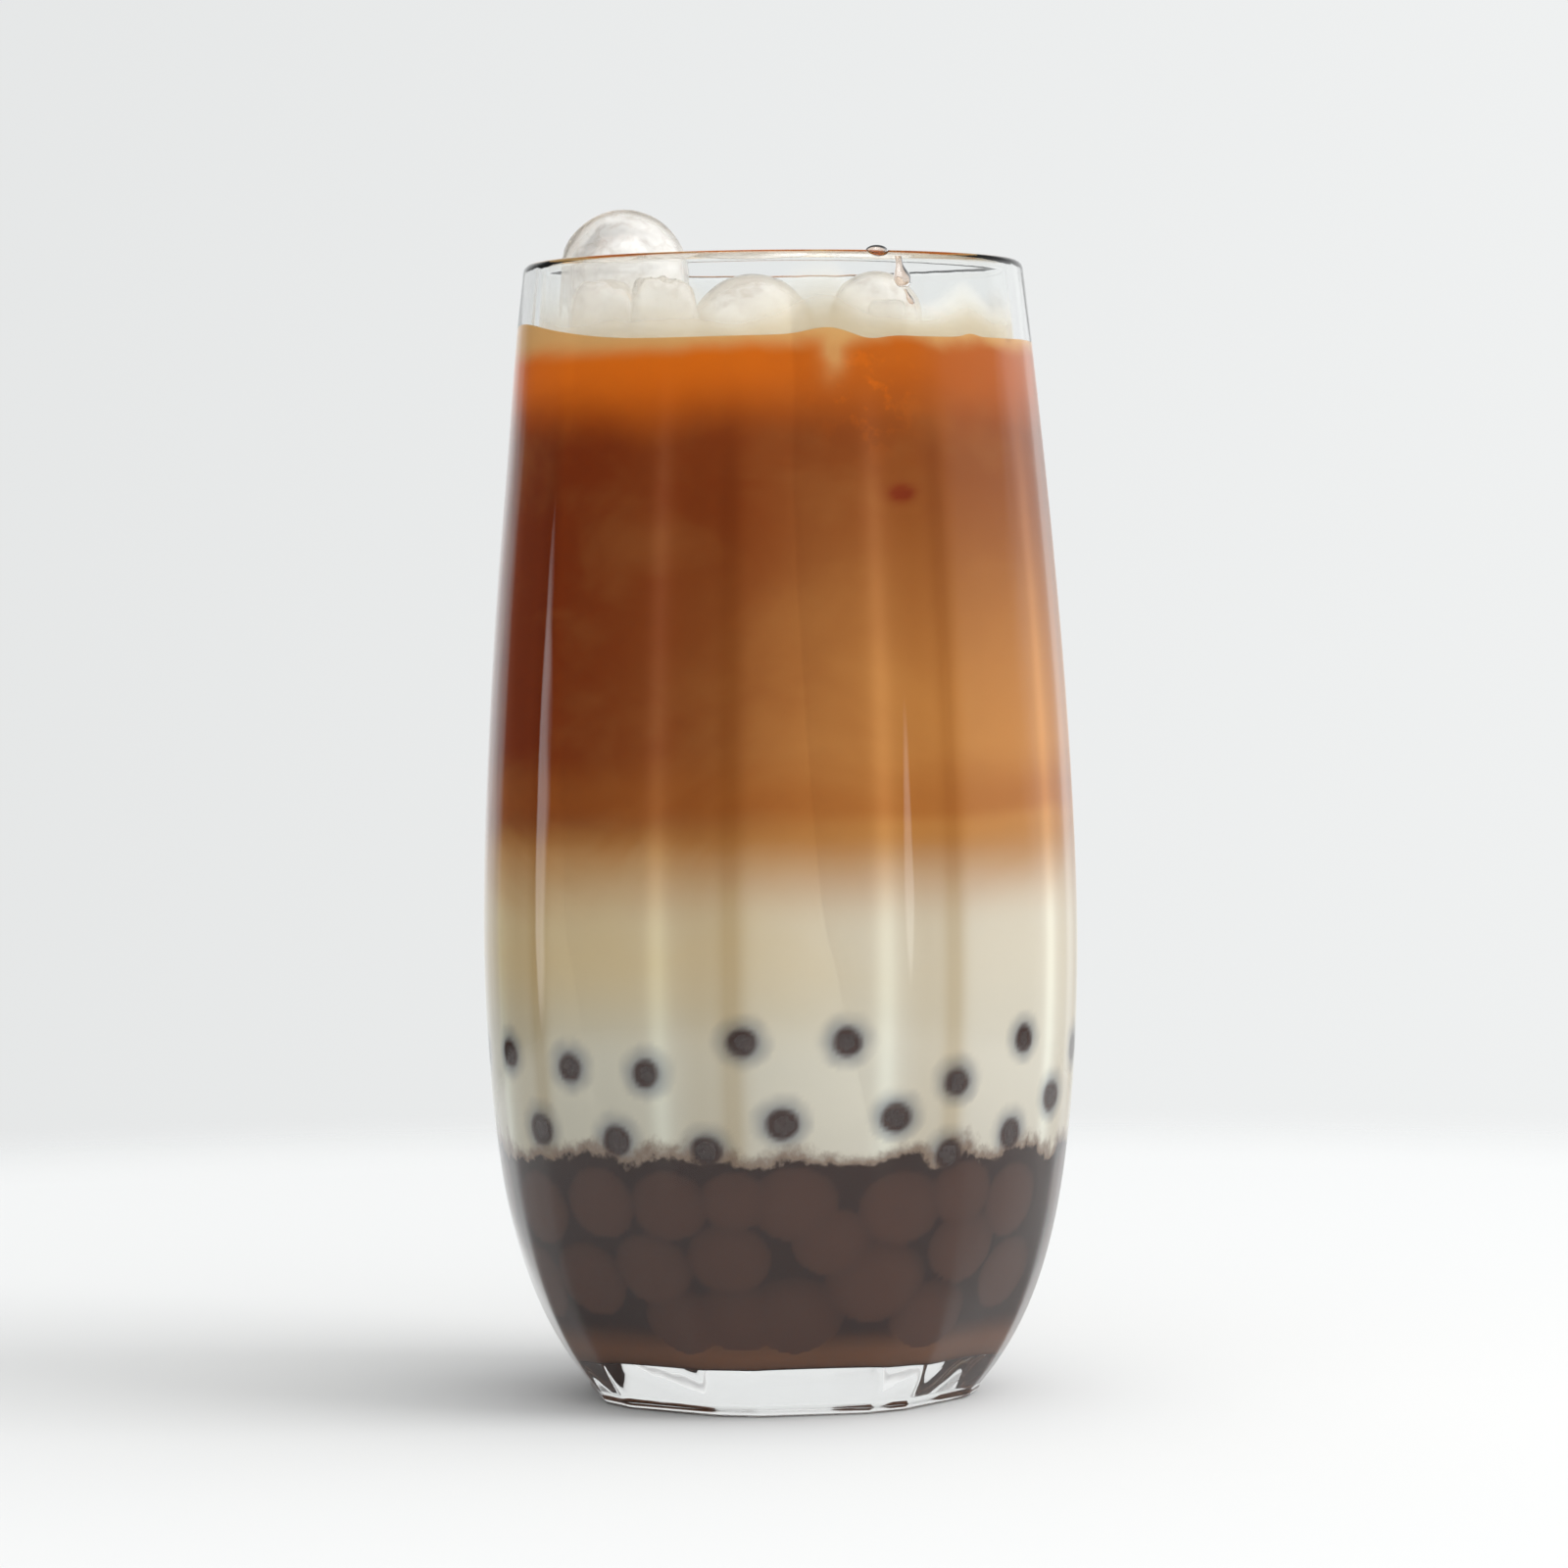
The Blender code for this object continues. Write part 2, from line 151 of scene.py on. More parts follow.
def ridge_radius(height):
    """Radius of the glass's outside, at its ridges."""
    height = np.asarray(height, float)
    rise = np.clip((height - WIDEST_HEIGHT) / (GLASS_HEIGHT - WIDEST_HEIGHT), 0.0, None)
    drop = np.clip((WIDEST_HEIGHT - height) / WIDEST_HEIGHT, 0.0, None)
    radius = WIDEST_RADIUS - MOUTH_TAPER * rise ** MOUTH_POWER
    return radius - FOOT_TAPER * drop ** 2 - FOOT_TUCK * drop ** 6


def cavity_radius(height):
    """Radius of the glass's inside, at its ridges, with the fillet above the floor."""
    height = np.asarray(height, float)
    drop = np.clip((WIDEST_HEIGHT - height) / WIDEST_HEIGHT, 0.0, None)
    radius = ridge_radius(height) - WALL - FOOT_WALL * drop ** 2
    below = np.clip(1.0 - (height - FLOOR_HEIGHT) / FLOOR_FILLET, 0.0, 1.0)
    return radius - FLOOR_FILLET * (1.0 - np.sqrt(1.0 - below ** 2))


def flatness(height):
    """How flat the outside's panels are: fully at the foot, less above, round at the rim."""
    foot = OUTER_FLATNESS + (1.0 - OUTER_FLATNESS) * smooth_step(*FLAT_FOOT, height)
    return foot * (1.0 - smooth_step(PANELS_FADE, PANELS_END, height))


def side_factor(angle, sharpness):
    """Radius of the flat-sided outline as a share of the ridge radius, ridges rounded."""
    angle = np.radians(np.asarray(angle, float))
    total = np.zeros_like(angle)
    for side in range(SIDES):
        column = math.radians(COLUMN_CENTRE + side * 360.0 / SIDES)
        panel = column + math.pi / SIDES
        for normal, half in ((column, COLUMN_HALF), (panel, 180.0 / SIDES - COLUMN_HALF)):
            reach = np.clip(np.cos(angle - normal), 0.0, None) / math.cos(math.radians(half))
            total += reach ** sharpness
    return total ** (-1.0 / sharpness)


def around(angles, radius, height, flat, sharpness=RIDGE_SHARPNESS):
    """Points of one ring of the outline: arrays broadcast over the angles."""
    factor = 1.0 + flat * (side_factor(angles, sharpness) - 1.0)
    turn = np.radians(angles)
    reach = radius * factor
    return np.stack([reach * np.sin(turn), -reach * np.cos(turn), height + 0.0 * turn], axis=-1)


def wall_ring(angles, height, inset=0.0):
    """Points of the cavity's wall at a height for each angle, moved in by an inset."""
    flat = INNER_FLATNESS * flatness(height)
    return around(angles, cavity_radius(height) - inset, height, flat, INNER_SHARPNESS)


# Places round the axis

def at_angle(angle, radius, height):
    """The point at an angle and a distance from the axis."""
    turn = math.radians(angle)
    return np.array([radius * math.sin(turn), -radius * math.cos(turn), height])


def angle_of(points):
    return np.degrees(np.arctan2(points[:, 0], -points[:, 1]))


def reach_of(points):
    """How far each point is from the axis."""
    return np.hypot(points[:, 0], points[:, 1])


def turned(angles, centre):
    """Angles counted from a centre, from -180 to 180."""
    return (angles - centre + 180.0) % 360.0 - 180.0


def hump(value, centre, width):
    """A soft bump: 1 at its centre."""
    return np.exp(-((value - centre) / width) ** 2)


def ring_noise(angles, scale, seed):
    """Smooth noise round the axis, one value for each angle."""
    turns = np.radians(angles)
    return np.array([noise.noise(Vector((math.sin(t) * scale, math.cos(t) * scale, seed))) for t in turns])


def node_box(name):
    """Lowest and highest corner of a node of the frame, in millimetres."""
    low, high = (np.array(corner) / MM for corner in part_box(name))
    return low, high


# Mesh helpers

def mesh_object(name, points, faces, look, smooth=True):
    """A named piece from points in millimetres."""
    mesh = bpy.data.meshes.new(name)
    mesh.from_pydata((np.asarray(points, float) * MM).tolist(), [], faces)
    mesh.update()
    if smooth:
        mesh.shade_smooth()
        mesh.set_sharp_from_angle(angle=math.radians(SHARP_ANGLE))
    mesh.materials.append(look)
    made = bpy.data.objects.new(name, mesh)
    bpy.context.scene.collection.objects.link(made)
    return made


def ring_faces(low, high, width):
    """Faces between two rings, each given by the number of its first point."""
    faces = []
    for i in range(width):
        j = (i + 1) % width
        faces.append((low + i, low + j, high + j, high + i))
    return faces


def closed_rings(name, rings, look, high_hub=None):
    """A closed body of rings with the same number of points, fans at both ends."""
    rings = np.asarray(rings, float)
    count, width = rings.shape[:2]
    points = rings.reshape(-1, 3).tolist()
    faces = []
    for ring in range(count - 1):
        faces += ring_faces(ring * width, (ring + 1) * width, width)
    high_hub = rings[-1].mean(axis=0) if high_hub is None else high_hub
    points.append(list(rings[0].mean(axis=0)))
    points.append(list(high_hub))
    hub = count * width
    top = (count - 1) * width
    for i in range(width):
        j = (i + 1) % width
        faces.append((j, i, hub))
        faces.append((top + i, top + j, hub + 1))
    return mesh_object(name, points, faces, look)


def ball(width=28, levels=18):
    """Points and faces of a unit ball, with this many points round it."""
    points = [(0.0, 0.0, -1.0)]
    for level in range(1, levels):
        tilt = math.pi * level / levels
        wide = math.sin(tilt)
        for i in range(width):
            turn = 2 * math.pi * i / width
            points.append((wide * math.cos(turn), wide * math.sin(turn), -math.cos(tilt)))
    points.append((0.0, 0.0, 1.0))
    last = 1 + (levels - 2) * width
    faces = []
    for i in range(width):
        j = (i + 1) % width
        faces.append((0, 1 + j, 1 + i))
        for level in range(levels - 2):
            low = 1 + level * width
            high = low + width
            faces.append((low + i, low + j, high + j, high + i))
        faces.append((last + i, last + j, len(points) - 1))
    return np.array(points), faces


def points_of(piece):
    """The piece's points in millimetres."""
    return np.array([v.co for v in piece.data.vertices]) / MM


def set_attribute(piece, name, values):
    """One value for each point of a piece, which its look reads by this name."""
    layer = piece.data.attributes.new(name, "FLOAT", "POINT")
    layer.data.foreach_set("value", np.asarray(values, np.float32))


def wobble(points, scale, seed):
    """Smooth noise at each point."""
    shift = Vector((seed, seed * 0.7, -seed))
    return np.array([noise.noise(Vector(p) * scale + shift) for p in points])


# Node helpers

class Nodes:
    """Short calls for building a material's or a world's node tree."""

    def __init__(self, tree):
        self.tree = tree
        tree.nodes.clear()

    def add(self, kind, **settings):
        node = self.tree.nodes.new(kind)
        for key, value in settings.items():
            setattr(node, key, value)
        return node

    def link(self, source, target):
        self.tree.links.new(source, target)

    def feed(self, socket, value):
        if isinstance(value, bpy.types.NodeSocket):
            self.link(value, socket)
        elif isinstance(value, tuple) and len(value) == 3 and socket.type == "RGBA":
            socket.default_value = (*value, 1.0)
        else:
            socket.default_value = value

    def math(self, operation, first, second, clamp=False):
        node = self.add("ShaderNodeMath", operation=operation, use_clamp=clamp)
        self.feed(node.inputs[0], first)
        self.feed(node.inputs[1], second)
        return node.outputs[0]

    def plus(self, first, second):
        return self.math("ADD", first, second)

    def minus(self, first, second):
        return self.math("SUBTRACT", first, second)

    def times(self, first, second):
        return self.math("MULTIPLY", first, second)

    def choose(self, switch, when_off, when_on):
        kept = self.times(when_off, self.minus(1.0, switch))
        return self.plus(kept, self.times(when_on, switch))

    def step(self, value, low, high, start=0.0, end=1.0, kind="SMOOTHSTEP"):
        node = self.add("ShaderNodeMapRange", interpolation_type=kind)
        self.feed(node.inputs["Value"], value)
        node.inputs["From Min"].default_value = low
        node.inputs["From Max"].default_value = high
        node.inputs["To Min"].default_value = start
        node.inputs["To Max"].default_value = end
        return node.outputs["Result"]

    def mix(self, factor, first, second):
        node = self.add("ShaderNodeMix", data_type="RGBA")
        self.feed(node.inputs[0], factor)
        self.feed(node.inputs[6], first)
        self.feed(node.inputs[7], second)
        return node.outputs[2]

    def scaled(self, colour, factor, offset=(0.0, 0.0, 0.0)):
        """A colour times a factor, plus an offset, channel by channel."""
        node = self.add("ShaderNodeVectorMath", operation="MULTIPLY_ADD")
        self.link(colour, node.inputs[0])
        node.inputs[1].default_value = factor
        node.inputs[2].default_value = offset
        return node.outputs[0]

    def noise(self, vector, scale, detail=3.0, roughness=0.5, distortion=0.0):
        node = self.add("ShaderNodeTexNoise")
        self.link(vector, node.inputs["Vector"])
        node.inputs["Scale"].default_value = scale
        node.inputs["Detail"].default_value = detail
        node.inputs["Roughness"].default_value = roughness
        node.inputs["Distortion"].default_value = distortion
        return node.outputs["Fac"]

    def attribute(self, name):
        return self.add("ShaderNodeAttribute", attribute_name=name).outputs["Fac"]

    def place(self):
        """Object coordinates: the place on the object, in metres."""
        return self.add("ShaderNodeTexCoord").outputs["Object"]

    def height(self, place):
        node = self.add("ShaderNodeSeparateXYZ")
        self.link(place, node.inputs[0])
        return node.outputs["Z"]

    def along(self, vector, direction):
        """How far a vector reaches along a direction."""
        node = self.add("ShaderNodeVectorMath", operation="DOT_PRODUCT")
        self.link(vector, node.inputs[0])
        node.inputs[1].default_value = direction
        return node.outputs["Value"]

    def stretched(self, vector, upward):
        """A place with its height scaled: under 1 draws a pattern out upwards."""
        node = self.add("ShaderNodeMapping")
        self.link(vector, node.inputs["Vector"])
        node.inputs["Scale"].default_value = (1.0, 1.0, upward)
        return node.outputs["Vector"]

    def bump(self, height, strength, distance):
        node = self.add("ShaderNodeBump")
        node.inputs["Strength"].default_value = strength
        node.inputs["Distance"].default_value = distance
        self.link(height, node.inputs["Height"])
        return node.outputs["Normal"]

    def clear(self, tint=(1.0, 1.0, 1.0)):
        """Lets everything behind it through, tinted."""
        node = self.add("ShaderNodeBsdfTransparent")
        node.inputs["Color"].default_value = (*tint, 1.0)
        return node

    def mix_shaders(self, factor, first, second):
        node = self.add("ShaderNodeMixShader")
        self.link(factor, node.inputs[0])
        self.link(first.outputs[0], node.inputs[1])
        self.link(second.outputs[0], node.inputs[2])
        return node


def principled(nodes, colour, roughness, **values):
    """The usual surface; underscores stand for the spaces in an input's name."""
    shader = nodes.add("ShaderNodeBsdfPrincipled")
    nodes.feed(shader.inputs["Base Color"], colour)
    nodes.feed(shader.inputs["Roughness"], roughness)
    for name, value in values.items():
        nodes.feed(shader.inputs[name.replace("_", " ")], value)
    return shader


def new_material(name):
    made = bpy.data.materials.new(name)
    made.use_nodes = True
    return made, Nodes(made.node_tree)


def finish_material(nodes, shader):
    output = nodes.add("ShaderNodeOutputMaterial")
    nodes.link(shader.outputs[0], output.inputs["Surface"])


def lets_lamps_through(nodes, shader, tint):
    """Clear stuff that a lamp's light passes, so that what is inside it is lit."""
    path = nodes.add("ShaderNodeLightPath")
    finish_material(nodes, nodes.mix_shaders(path.outputs["Is Shadow Ray"], shader, nodes.clear(tint)))


# Colours
GLASS_TINT = (0.985, 0.995, 0.99)
GLASS_SHADOW = (0.96, 0.975, 0.97)
ICE_PALE = (0.90, 0.885, 0.865)
ICE_CRACK = (0.64, 0.58, 0.53)
ICE_SHADOW = (0.93, 0.925, 0.915)
TEA_DEEP = (0.255, 0.039, 0.004)
# Painted light: the tea's paler colour on its lit side, which is also the colour of its paler wisps
TEA_WISPS_AND_PAINTED_LIGHT = (0.66, 0.305, 0.085)
TEA_BAND = (0.45, 0.145, 0.028)
# Painted glow near the tea's top, as of light coming in through it; also the colour of the tea's mottled
# spots
TEA_PAINTED_GLOW_AND_MOTTLE = (0.88, 0.20, 0.010)
TEA_CREAM = (0.86, 0.56, 0.22)
TEA_TOP = (0.60, 0.53, 0.43)
TEA_RED = (0.26, 0.030, 0.012)
BLEND = (0.58, 0.28, 0.085)
MILK_WARM = (0.78, 0.635, 0.40)
MILK_COOL = (0.73, 0.69, 0.57)
# Painted light: the milk's paler colour on its lit side
MILK_PAINTED_LIGHT = (0.80, 0.75, 0.65)
SYRUP_GAP = (0.034, 0.013, 0.009)
SYRUP_DISC = (0.090, 0.037, 0.024)
SYRUP_EDGE = (0.29, 0.21, 0.16)
# Painted glow: the syrup's amber low down near the foot, as of light passing through it
SYRUP_PAINTED_GLOW = (0.40, 0.16, 0.07)
SPOT = (0.050, 0.022, 0.017)
HALO = (0.24, 0.25, 0.27)
PEARL_BLACK = (0.018, 0.008, 0.006)
PEARL_BROWN = (0.050, 0.022, 0.017)
FILM_THIN = (0.70, 0.64, 0.54)
FILM_THICK = (0.76, 0.64, 0.44)
DROP_PALE = (0.94, 0.84, 0.77)
DROP_BROWN = (0.84, 0.66, 0.55)
DROP_SHADOW = (0.93, 0.86, 0.80)
IN_SHADE = (0.80, 0.73, 0.62)  # times the colour
IN_LIGHT = (1.22, 1.27, 1.30)
LIGHT_HAZE = (0.012, 0.014, 0.012)

# How strongly light bends in each
GLASS_IOR = 1.5
ICE_IOR = 1.31
WATER_IOR = 1.33
MIRROR_IOR = 0.92  # under 1, so that it mirrors fully at a low angle

# Heights in metres between which a look changes, from the first towards the second
# Painted glow: the syrup's amber fades in between these heights
SYRUP_GLOW_HEIGHTS = (0.0122, 0.0076)
SYRUP_ENDS = (0.0312, 0.0320)
FRINGE_ENDS = (0.0318, 0.0342)
MILK_WARMS = (0.044, 0.058)
MILK_BLENDS = (0.0605, 0.0735)
TEA_BLENDS = (0.0695, 0.0765)
BAND_STARTS = (0.0730, 0.0765)
BAND_ENDS = (0.0840, 0.0775)
# Painted light: the tea's lit side turns paler between these heights
TEA_PAINTED_LIGHT_HEIGHTS = (0.122, 0.082)
# Painted glow: it fades in between these heights
PAINTED_GLOW_STARTS = (0.1200, 0.1305)
CREAM_STARTS = (0.1312, 0.1344)
ICE_IN_DRINK = (0.1349, 0.1334)
PAINTED_LIGHT_SIDE = (0.97, -0.25, 0.0)  # painted light: the side on which the tea and the milk are painted paler, as if lit from there


# Materials

def glass_look():
    """Clear pressed glass with a faint waviness and a few dull smears."""
    made, nodes = new_material("tumbler_glass")
    place = nodes.place()
    waves = nodes.noise(nodes.stretched(place, 0.22), 130.0, 2.0)
    smears = nodes.noise(nodes.stretched(place, 0.35), 60.0, 5.0, 0.6)
    shader = principled(
        nodes, GLASS_TINT, nodes.step(smears, 0.45, 0.8, 0.0, 0.035),
        Transmission_Weight=1.0, IOR=GLASS_IOR, Normal=nodes.bump(waves, 0.05, 0.002),
    )
    lets_lamps_through(nodes, shader, GLASS_SHADOW)
    return made


def ice_look(name, frost):
    """Wet ice: milky inside, clearer at its edge, and solid where it stands in the drink."""
    made, nodes = new_material(name)
    place = nodes.place()
    lumps = nodes.noise(place, 150.0, 3.0, 0.5)
    cracks = nodes.noise(place, 420.0, 4.0, 0.6, 1.2)
    grain = nodes.noise(place, 1500.0, 3.0, 0.6)
    edge = nodes.add("ShaderNodeLayerWeight")
    edge.inputs["Blend"].default_value = 0.42
    rim = nodes.step(edge.outputs["Facing"], 0.28, 0.72)
    veil = nodes.step(nodes.plus(lumps, frost), 0.35, 0.75, 0.34, 0.66)
    veil = nodes.times(veil, nodes.minus(1.0, nodes.times(rim, 0.8)))
    veil = nodes.math("MAXIMUM", veil, nodes.step(nodes.height(place), *ICE_IN_DRINK))
    colour = nodes.mix(nodes.step(cracks, 0.45, 0.68, 0.0, 0.55), ICE_PALE, ICE_CRACK)
    relief = nodes.plus(lumps, nodes.times(cracks, frost))
    shader = principled(
        nodes, colour, nodes.step(grain, 0.35, 0.75, 0.10, 0.24), IOR=ICE_IOR,
        Transmission_Weight=nodes.minus(1.0, veil), Normal=nodes.bump(relief, 0.3, 0.0012),
    )
    lets_lamps_through(nodes, shader, ICE_SHADOW)
    return made


def shaded(nodes, colour):
    """Puts the streaks of light and shade on a colour: lighter, or darker and warmer."""
    dark = nodes.scaled(colour, IN_SHADE)
    bright = nodes.scaled(colour, IN_LIGHT, LIGHT_HAZE)
    colour = nodes.mix(nodes.attribute("dark"), colour, dark)
    return nodes.mix(nodes.attribute("bright"), colour, bright)


def drink_colour(nodes, place, height):
    """The drink's colour at each place: tea above, a soft change, milk below."""
    clouds = nodes.noise(nodes.stretched(place, 1.5), 30.0, 4.0, 0.5, 0.8)
    wisps = nodes.noise(nodes.stretched(place, 1.4), 70.0, 3.0, 0.5, 0.3)
    uneven = nodes.minus(clouds, 0.5)
    wavy = nodes.plus(height, nodes.times(uneven, 0.007))
    # Painted light and shade: the drink is paler towards its lit side at the right and darker away from it
    lean = nodes.plus(nodes.along(place, PAINTED_LIGHT_SIDE), nodes.times(uneven, 0.034))
    lighter = nodes.step(lean, -0.022, 0.034)

    pale = nodes.times(lighter, nodes.step(height, *TEA_PAINTED_LIGHT_HEIGHTS, 0.22, 1.0))
    tea = nodes.mix(pale, TEA_DEEP, TEA_WISPS_AND_PAINTED_LIGHT)
    tea = nodes.mix(nodes.times(nodes.step(wisps, 0.45, 0.75), 0.14), tea, TEA_WISPS_AND_PAINTED_LIGHT)
    # Painted glow: a brighter orange near the tea's top, stronger away from its lit side
    glow = nodes.times(nodes.step(wavy, *PAINTED_GLOW_STARTS), nodes.step(lean, -0.010, 0.030, 1.0, 0.42))
    tea = nodes.mix(glow, tea, TEA_PAINTED_GLOW_AND_MOTTLE)
    tea = nodes.mix(nodes.times(nodes.step(wavy, *CREAM_STARTS), 0.85), tea, TEA_CREAM)
    band = nodes.times(nodes.step(wavy, *BAND_STARTS), nodes.step(wavy, *BAND_ENDS))
    tea = nodes.mix(nodes.times(band, 0.55), tea, TEA_BAND)

    milk = nodes.mix(nodes.step(height, *MILK_WARMS), MILK_COOL, MILK_WARM)
    # Painted light: the milk is paler on its lit side
    milk = nodes.mix(nodes.times(lighter, 0.85), milk, MILK_PAINTED_LIGHT)
    mixed = nodes.mix(nodes.step(wavy, *MILK_BLENDS), milk, BLEND)
    return nodes.mix(nodes.step(wavy, *TEA_BLENDS), mixed, tea)


def lower_look():
    """Milk with pearls that show through, a grainy edge, and syrup with pearls below."""
    made, nodes = new_material("milk_and_syrup")
    place = nodes.place()
    height = nodes.height(place)
    fine = nodes.noise(place, 620.0, 5.0, 0.65)
    coarse = nodes.noise(place, 150.0, 3.0, 0.5)
    milk = drink_colour(nodes, place, height)
    milk = nodes.mix(nodes.times(nodes.attribute("halo"), 0.84), milk, HALO)
    disc = nodes.attribute("disc")
    syrup = nodes.mix(disc, SYRUP_GAP, SYRUP_DISC)
    syrup = nodes.mix(nodes.times(nodes.step(fine, 0.6, 0.8), 0.015), syrup, SYRUP_EDGE)
    # Painted glow: the syrup turns amber near the foot, except on the pearls' discs
    low = nodes.times(nodes.step(height, *SYRUP_GLOW_HEIGHTS), nodes.step(disc, 0.95, 0.45))
    syrup = nodes.mix(nodes.times(low, 0.45), syrup, SYRUP_PAINTED_GLOW)
    level = nodes.plus(height, nodes.times(nodes.minus(coarse, 0.5), 0.0065))
    level = nodes.plus(level, nodes.times(nodes.minus(fine, 0.5), 0.0030))
    level = nodes.minus(level, nodes.times(nodes.attribute("swell"), 0.00035))
    fringe = nodes.mix(nodes.step(level, *FRINGE_ENDS), SYRUP_EDGE, milk)
    colour = nodes.mix(nodes.step(level, *SYRUP_ENDS), syrup, fringe)
    colour = nodes.mix(nodes.attribute("spot"), colour, SPOT)
    finish_material(nodes, principled(nodes, shaded(nodes, colour), 0.55, Specular_IOR_Level=0.0))
    return made


def tea_look():
    """Tea with its marks: mottled, shaded, red, creamy, and paler on top."""
    made, nodes = new_material("tea_drink")
    place = nodes.place()
    colour = drink_colour(nodes, place, nodes.height(place))
    grain = nodes.noise(place, 420.0, 4.0, 0.6)
    mottled = nodes.times(nodes.attribute("mottled"), nodes.step(grain, 0.5, 0.66))
    colour = nodes.mix(nodes.times(mottled, 0.45), colour, TEA_PAINTED_GLOW_AND_MOTTLE)
    for mark, strength, tone in (("shade", 0.5, TEA_DEEP), ("red", 0.8, TEA_RED), ("cream", 0.6, TEA_CREAM)):
        colour = nodes.mix(nodes.times(nodes.attribute(mark), strength), colour, tone)
    colour = nodes.mix(nodes.attribute("top"), colour, TEA_TOP)
    finish_material(nodes, principled(nodes, shaded(nodes, colour), 0.5, Specular_IOR_Level=0.0))
    return made


def underside_look():
    """The drink's underside, seen through the foot: at a low angle it mirrors."""
    made, nodes = new_material("syrup_underside")
    tone = nodes.noise(nodes.place(), 300.0, 3.0)
    colour = nodes.mix(tone, SYRUP_GAP, SYRUP_DISC)
    finish_material(nodes, principled(nodes, colour, 0.0, IOR=MIRROR_IOR))
    return made


def pearl_look():
    """Dark, wet tapioca with fine pits."""
    made, nodes = new_material("tapioca_pearl")
    place = nodes.place()
    tone = nodes.noise(place, 180.0, 3.0)
    pits = nodes.noise(place, 900.0, 3.0)
    shader = principled(
        nodes, nodes.mix(tone, PEARL_BLACK, PEARL_BROWN), nodes.step(pits, 0.3, 0.7, 0.2, 0.4),
        Specular_IOR_Level=0.3, Normal=nodes.bump(pits, 0.2, 0.0005),
    )
    finish_material(nodes, shader)
    return made


def film_look():
    """A thin film of milk left on the wall above the drink, thinner towards its top."""
    made, nodes = new_material("milk_film")
    cover = nodes.attribute("cover")
    patches = nodes.noise(nodes.stretched(nodes.place(), 0.5), 90.0, 3.0, 0.5)
    solid = nodes.math("MULTIPLY", cover, nodes.step(patches, 0.25, 0.75, 0.75, 1.0), clamp=True)
    colour = nodes.mix(nodes.step(cover, 0.15, 0.7), FILM_THIN, FILM_THICK)
    shader = principled(nodes, colour, 0.6, Specular_IOR_Level=0.1)
    finish_material(nodes, nodes.mix_shaders(solid, nodes.clear(), shader))
    return made


def drop_look():
    """A drop of thin tea."""
    made, nodes = new_material("tea_drop")
    tone = nodes.noise(nodes.place(), 700.0, 2.0)
    colour = nodes.mix(tone, DROP_PALE, DROP_BROWN)
    shader = principled(nodes, colour, 0.01, Transmission_Weight=1.0, IOR=WATER_IOR)
    lets_lamps_through(nodes, shader, DROP_SHADOW)
    return made


# Glass piece

def fine_angles():
    """Angles round the glass, close together at each ridge."""
    angles = []
    for side in range(SIDES):
        column = COLUMN_CENTRE + side * 360.0 / SIDES
        for ridge in (column - COLUMN_HALF, column + COLUMN_HALF):
            angles += [ridge + off for off in RIDGE_OFFSETS]
        angles += [column + off for off in COLUMN_OFFSETS]
        panel = column + 180.0 / SIDES
        angles += [panel + off for off in PANEL_OFFSETS]
    return np.array(sorted(angles))


def foot_rings(angles):
    """From the middle of the hollow underneath out to the foot's rounded edge."""
    edge = float(ridge_radius(FOOT_EDGE))
    rings = []
    for share, rise in PUNT_RINGS:
        rings.append(around(angles, REST_RING_INNER * share, PUNT_HEIGHT * rise, 0.0))
    rings.append(around(angles, REST_RING_INNER, 0.0, 0.0))
    rings.append(around(angles, (REST_RING_INNER + edge - FOOT_EDGE) / 2, 0.0, 0.5))
    for turn in np.linspace(0.0, math.pi / 2, 7):
        radius = edge - FOOT_EDGE * (1.0 - math.sin(turn))
        rings.append(around(angles, radius, FOOT_EDGE * (1.0 - math.cos(turn)), 1.0))
    return rings


def outside_rings(angles):
    """Up the outside, with more rings where the foot curves in."""
    heights = np.concatenate([np.arange(1.8, 20.0, 1.2), np.linspace(20.0, WALL_TOP, 62)])
    return [around(angles, ridge_radius(height), height, flatness(height)) for height in heights]


def lip_rings(angles):
    """Over the rounded lip."""
    middle = float(ridge_radius(LIP_START)) - WALL / 2
    rings = []
    for turn in np.linspace(0.0, math.pi, 17):
        radius = middle + WALL / 2 * math.cos(turn)
        rings.append(around(angles, radius, LIP_START + LIP_HEIGHT * math.sin(turn), 0.0))
    return rings


def inside_rings(angles):
    """Down the inside, round the fillet and over the floor."""
    rings = []
    for height in np.linspace(WALL_TOP, FLOOR_HEIGHT + FLOOR_FILLET, 64):
        rings.append(wall_ring(angles, height))
    for turn in np.linspace(math.radians(86.0), 0.0, 16):
        rings.append(wall_ring(angles, FLOOR_HEIGHT + FLOOR_FILLET * (1.0 - math.cos(turn))))
    floor_edge = float(cavity_radius(FLOOR_HEIGHT))
    for share in (0.8, 0.55, 0.3, 0.1):
        rings.append(around(angles, floor_edge * share, FLOOR_HEIGHT, 0.0))
    return rings


def glass_piece(look):
    angles = fine_angles()
    rings = foot_rings(angles) + outside_rings(angles) + lip_rings(angles) + inside_rings(angles)
    piece = closed_rings("tumbler", rings, look)
    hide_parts("glass")
    return piece


# Pearls

class Pearl:
    def __init__(self, centre, radius):
        self.centre = np.array(centre, float)
        self.radius = radius
        self.angle = math.degrees(math.atan2(self.centre[0], -self.centre[1]))

    def press(self, depth):
        """Moves the pearl out until the wall would cut that much off it."""
        wall = wall_ring(np.array([self.angle]), self.centre[2])[0]
        reach = math.hypot(wall[0], wall[1]) - self.radius + depth
        self.centre = at_angle(self.angle, reach, self.centre[2])


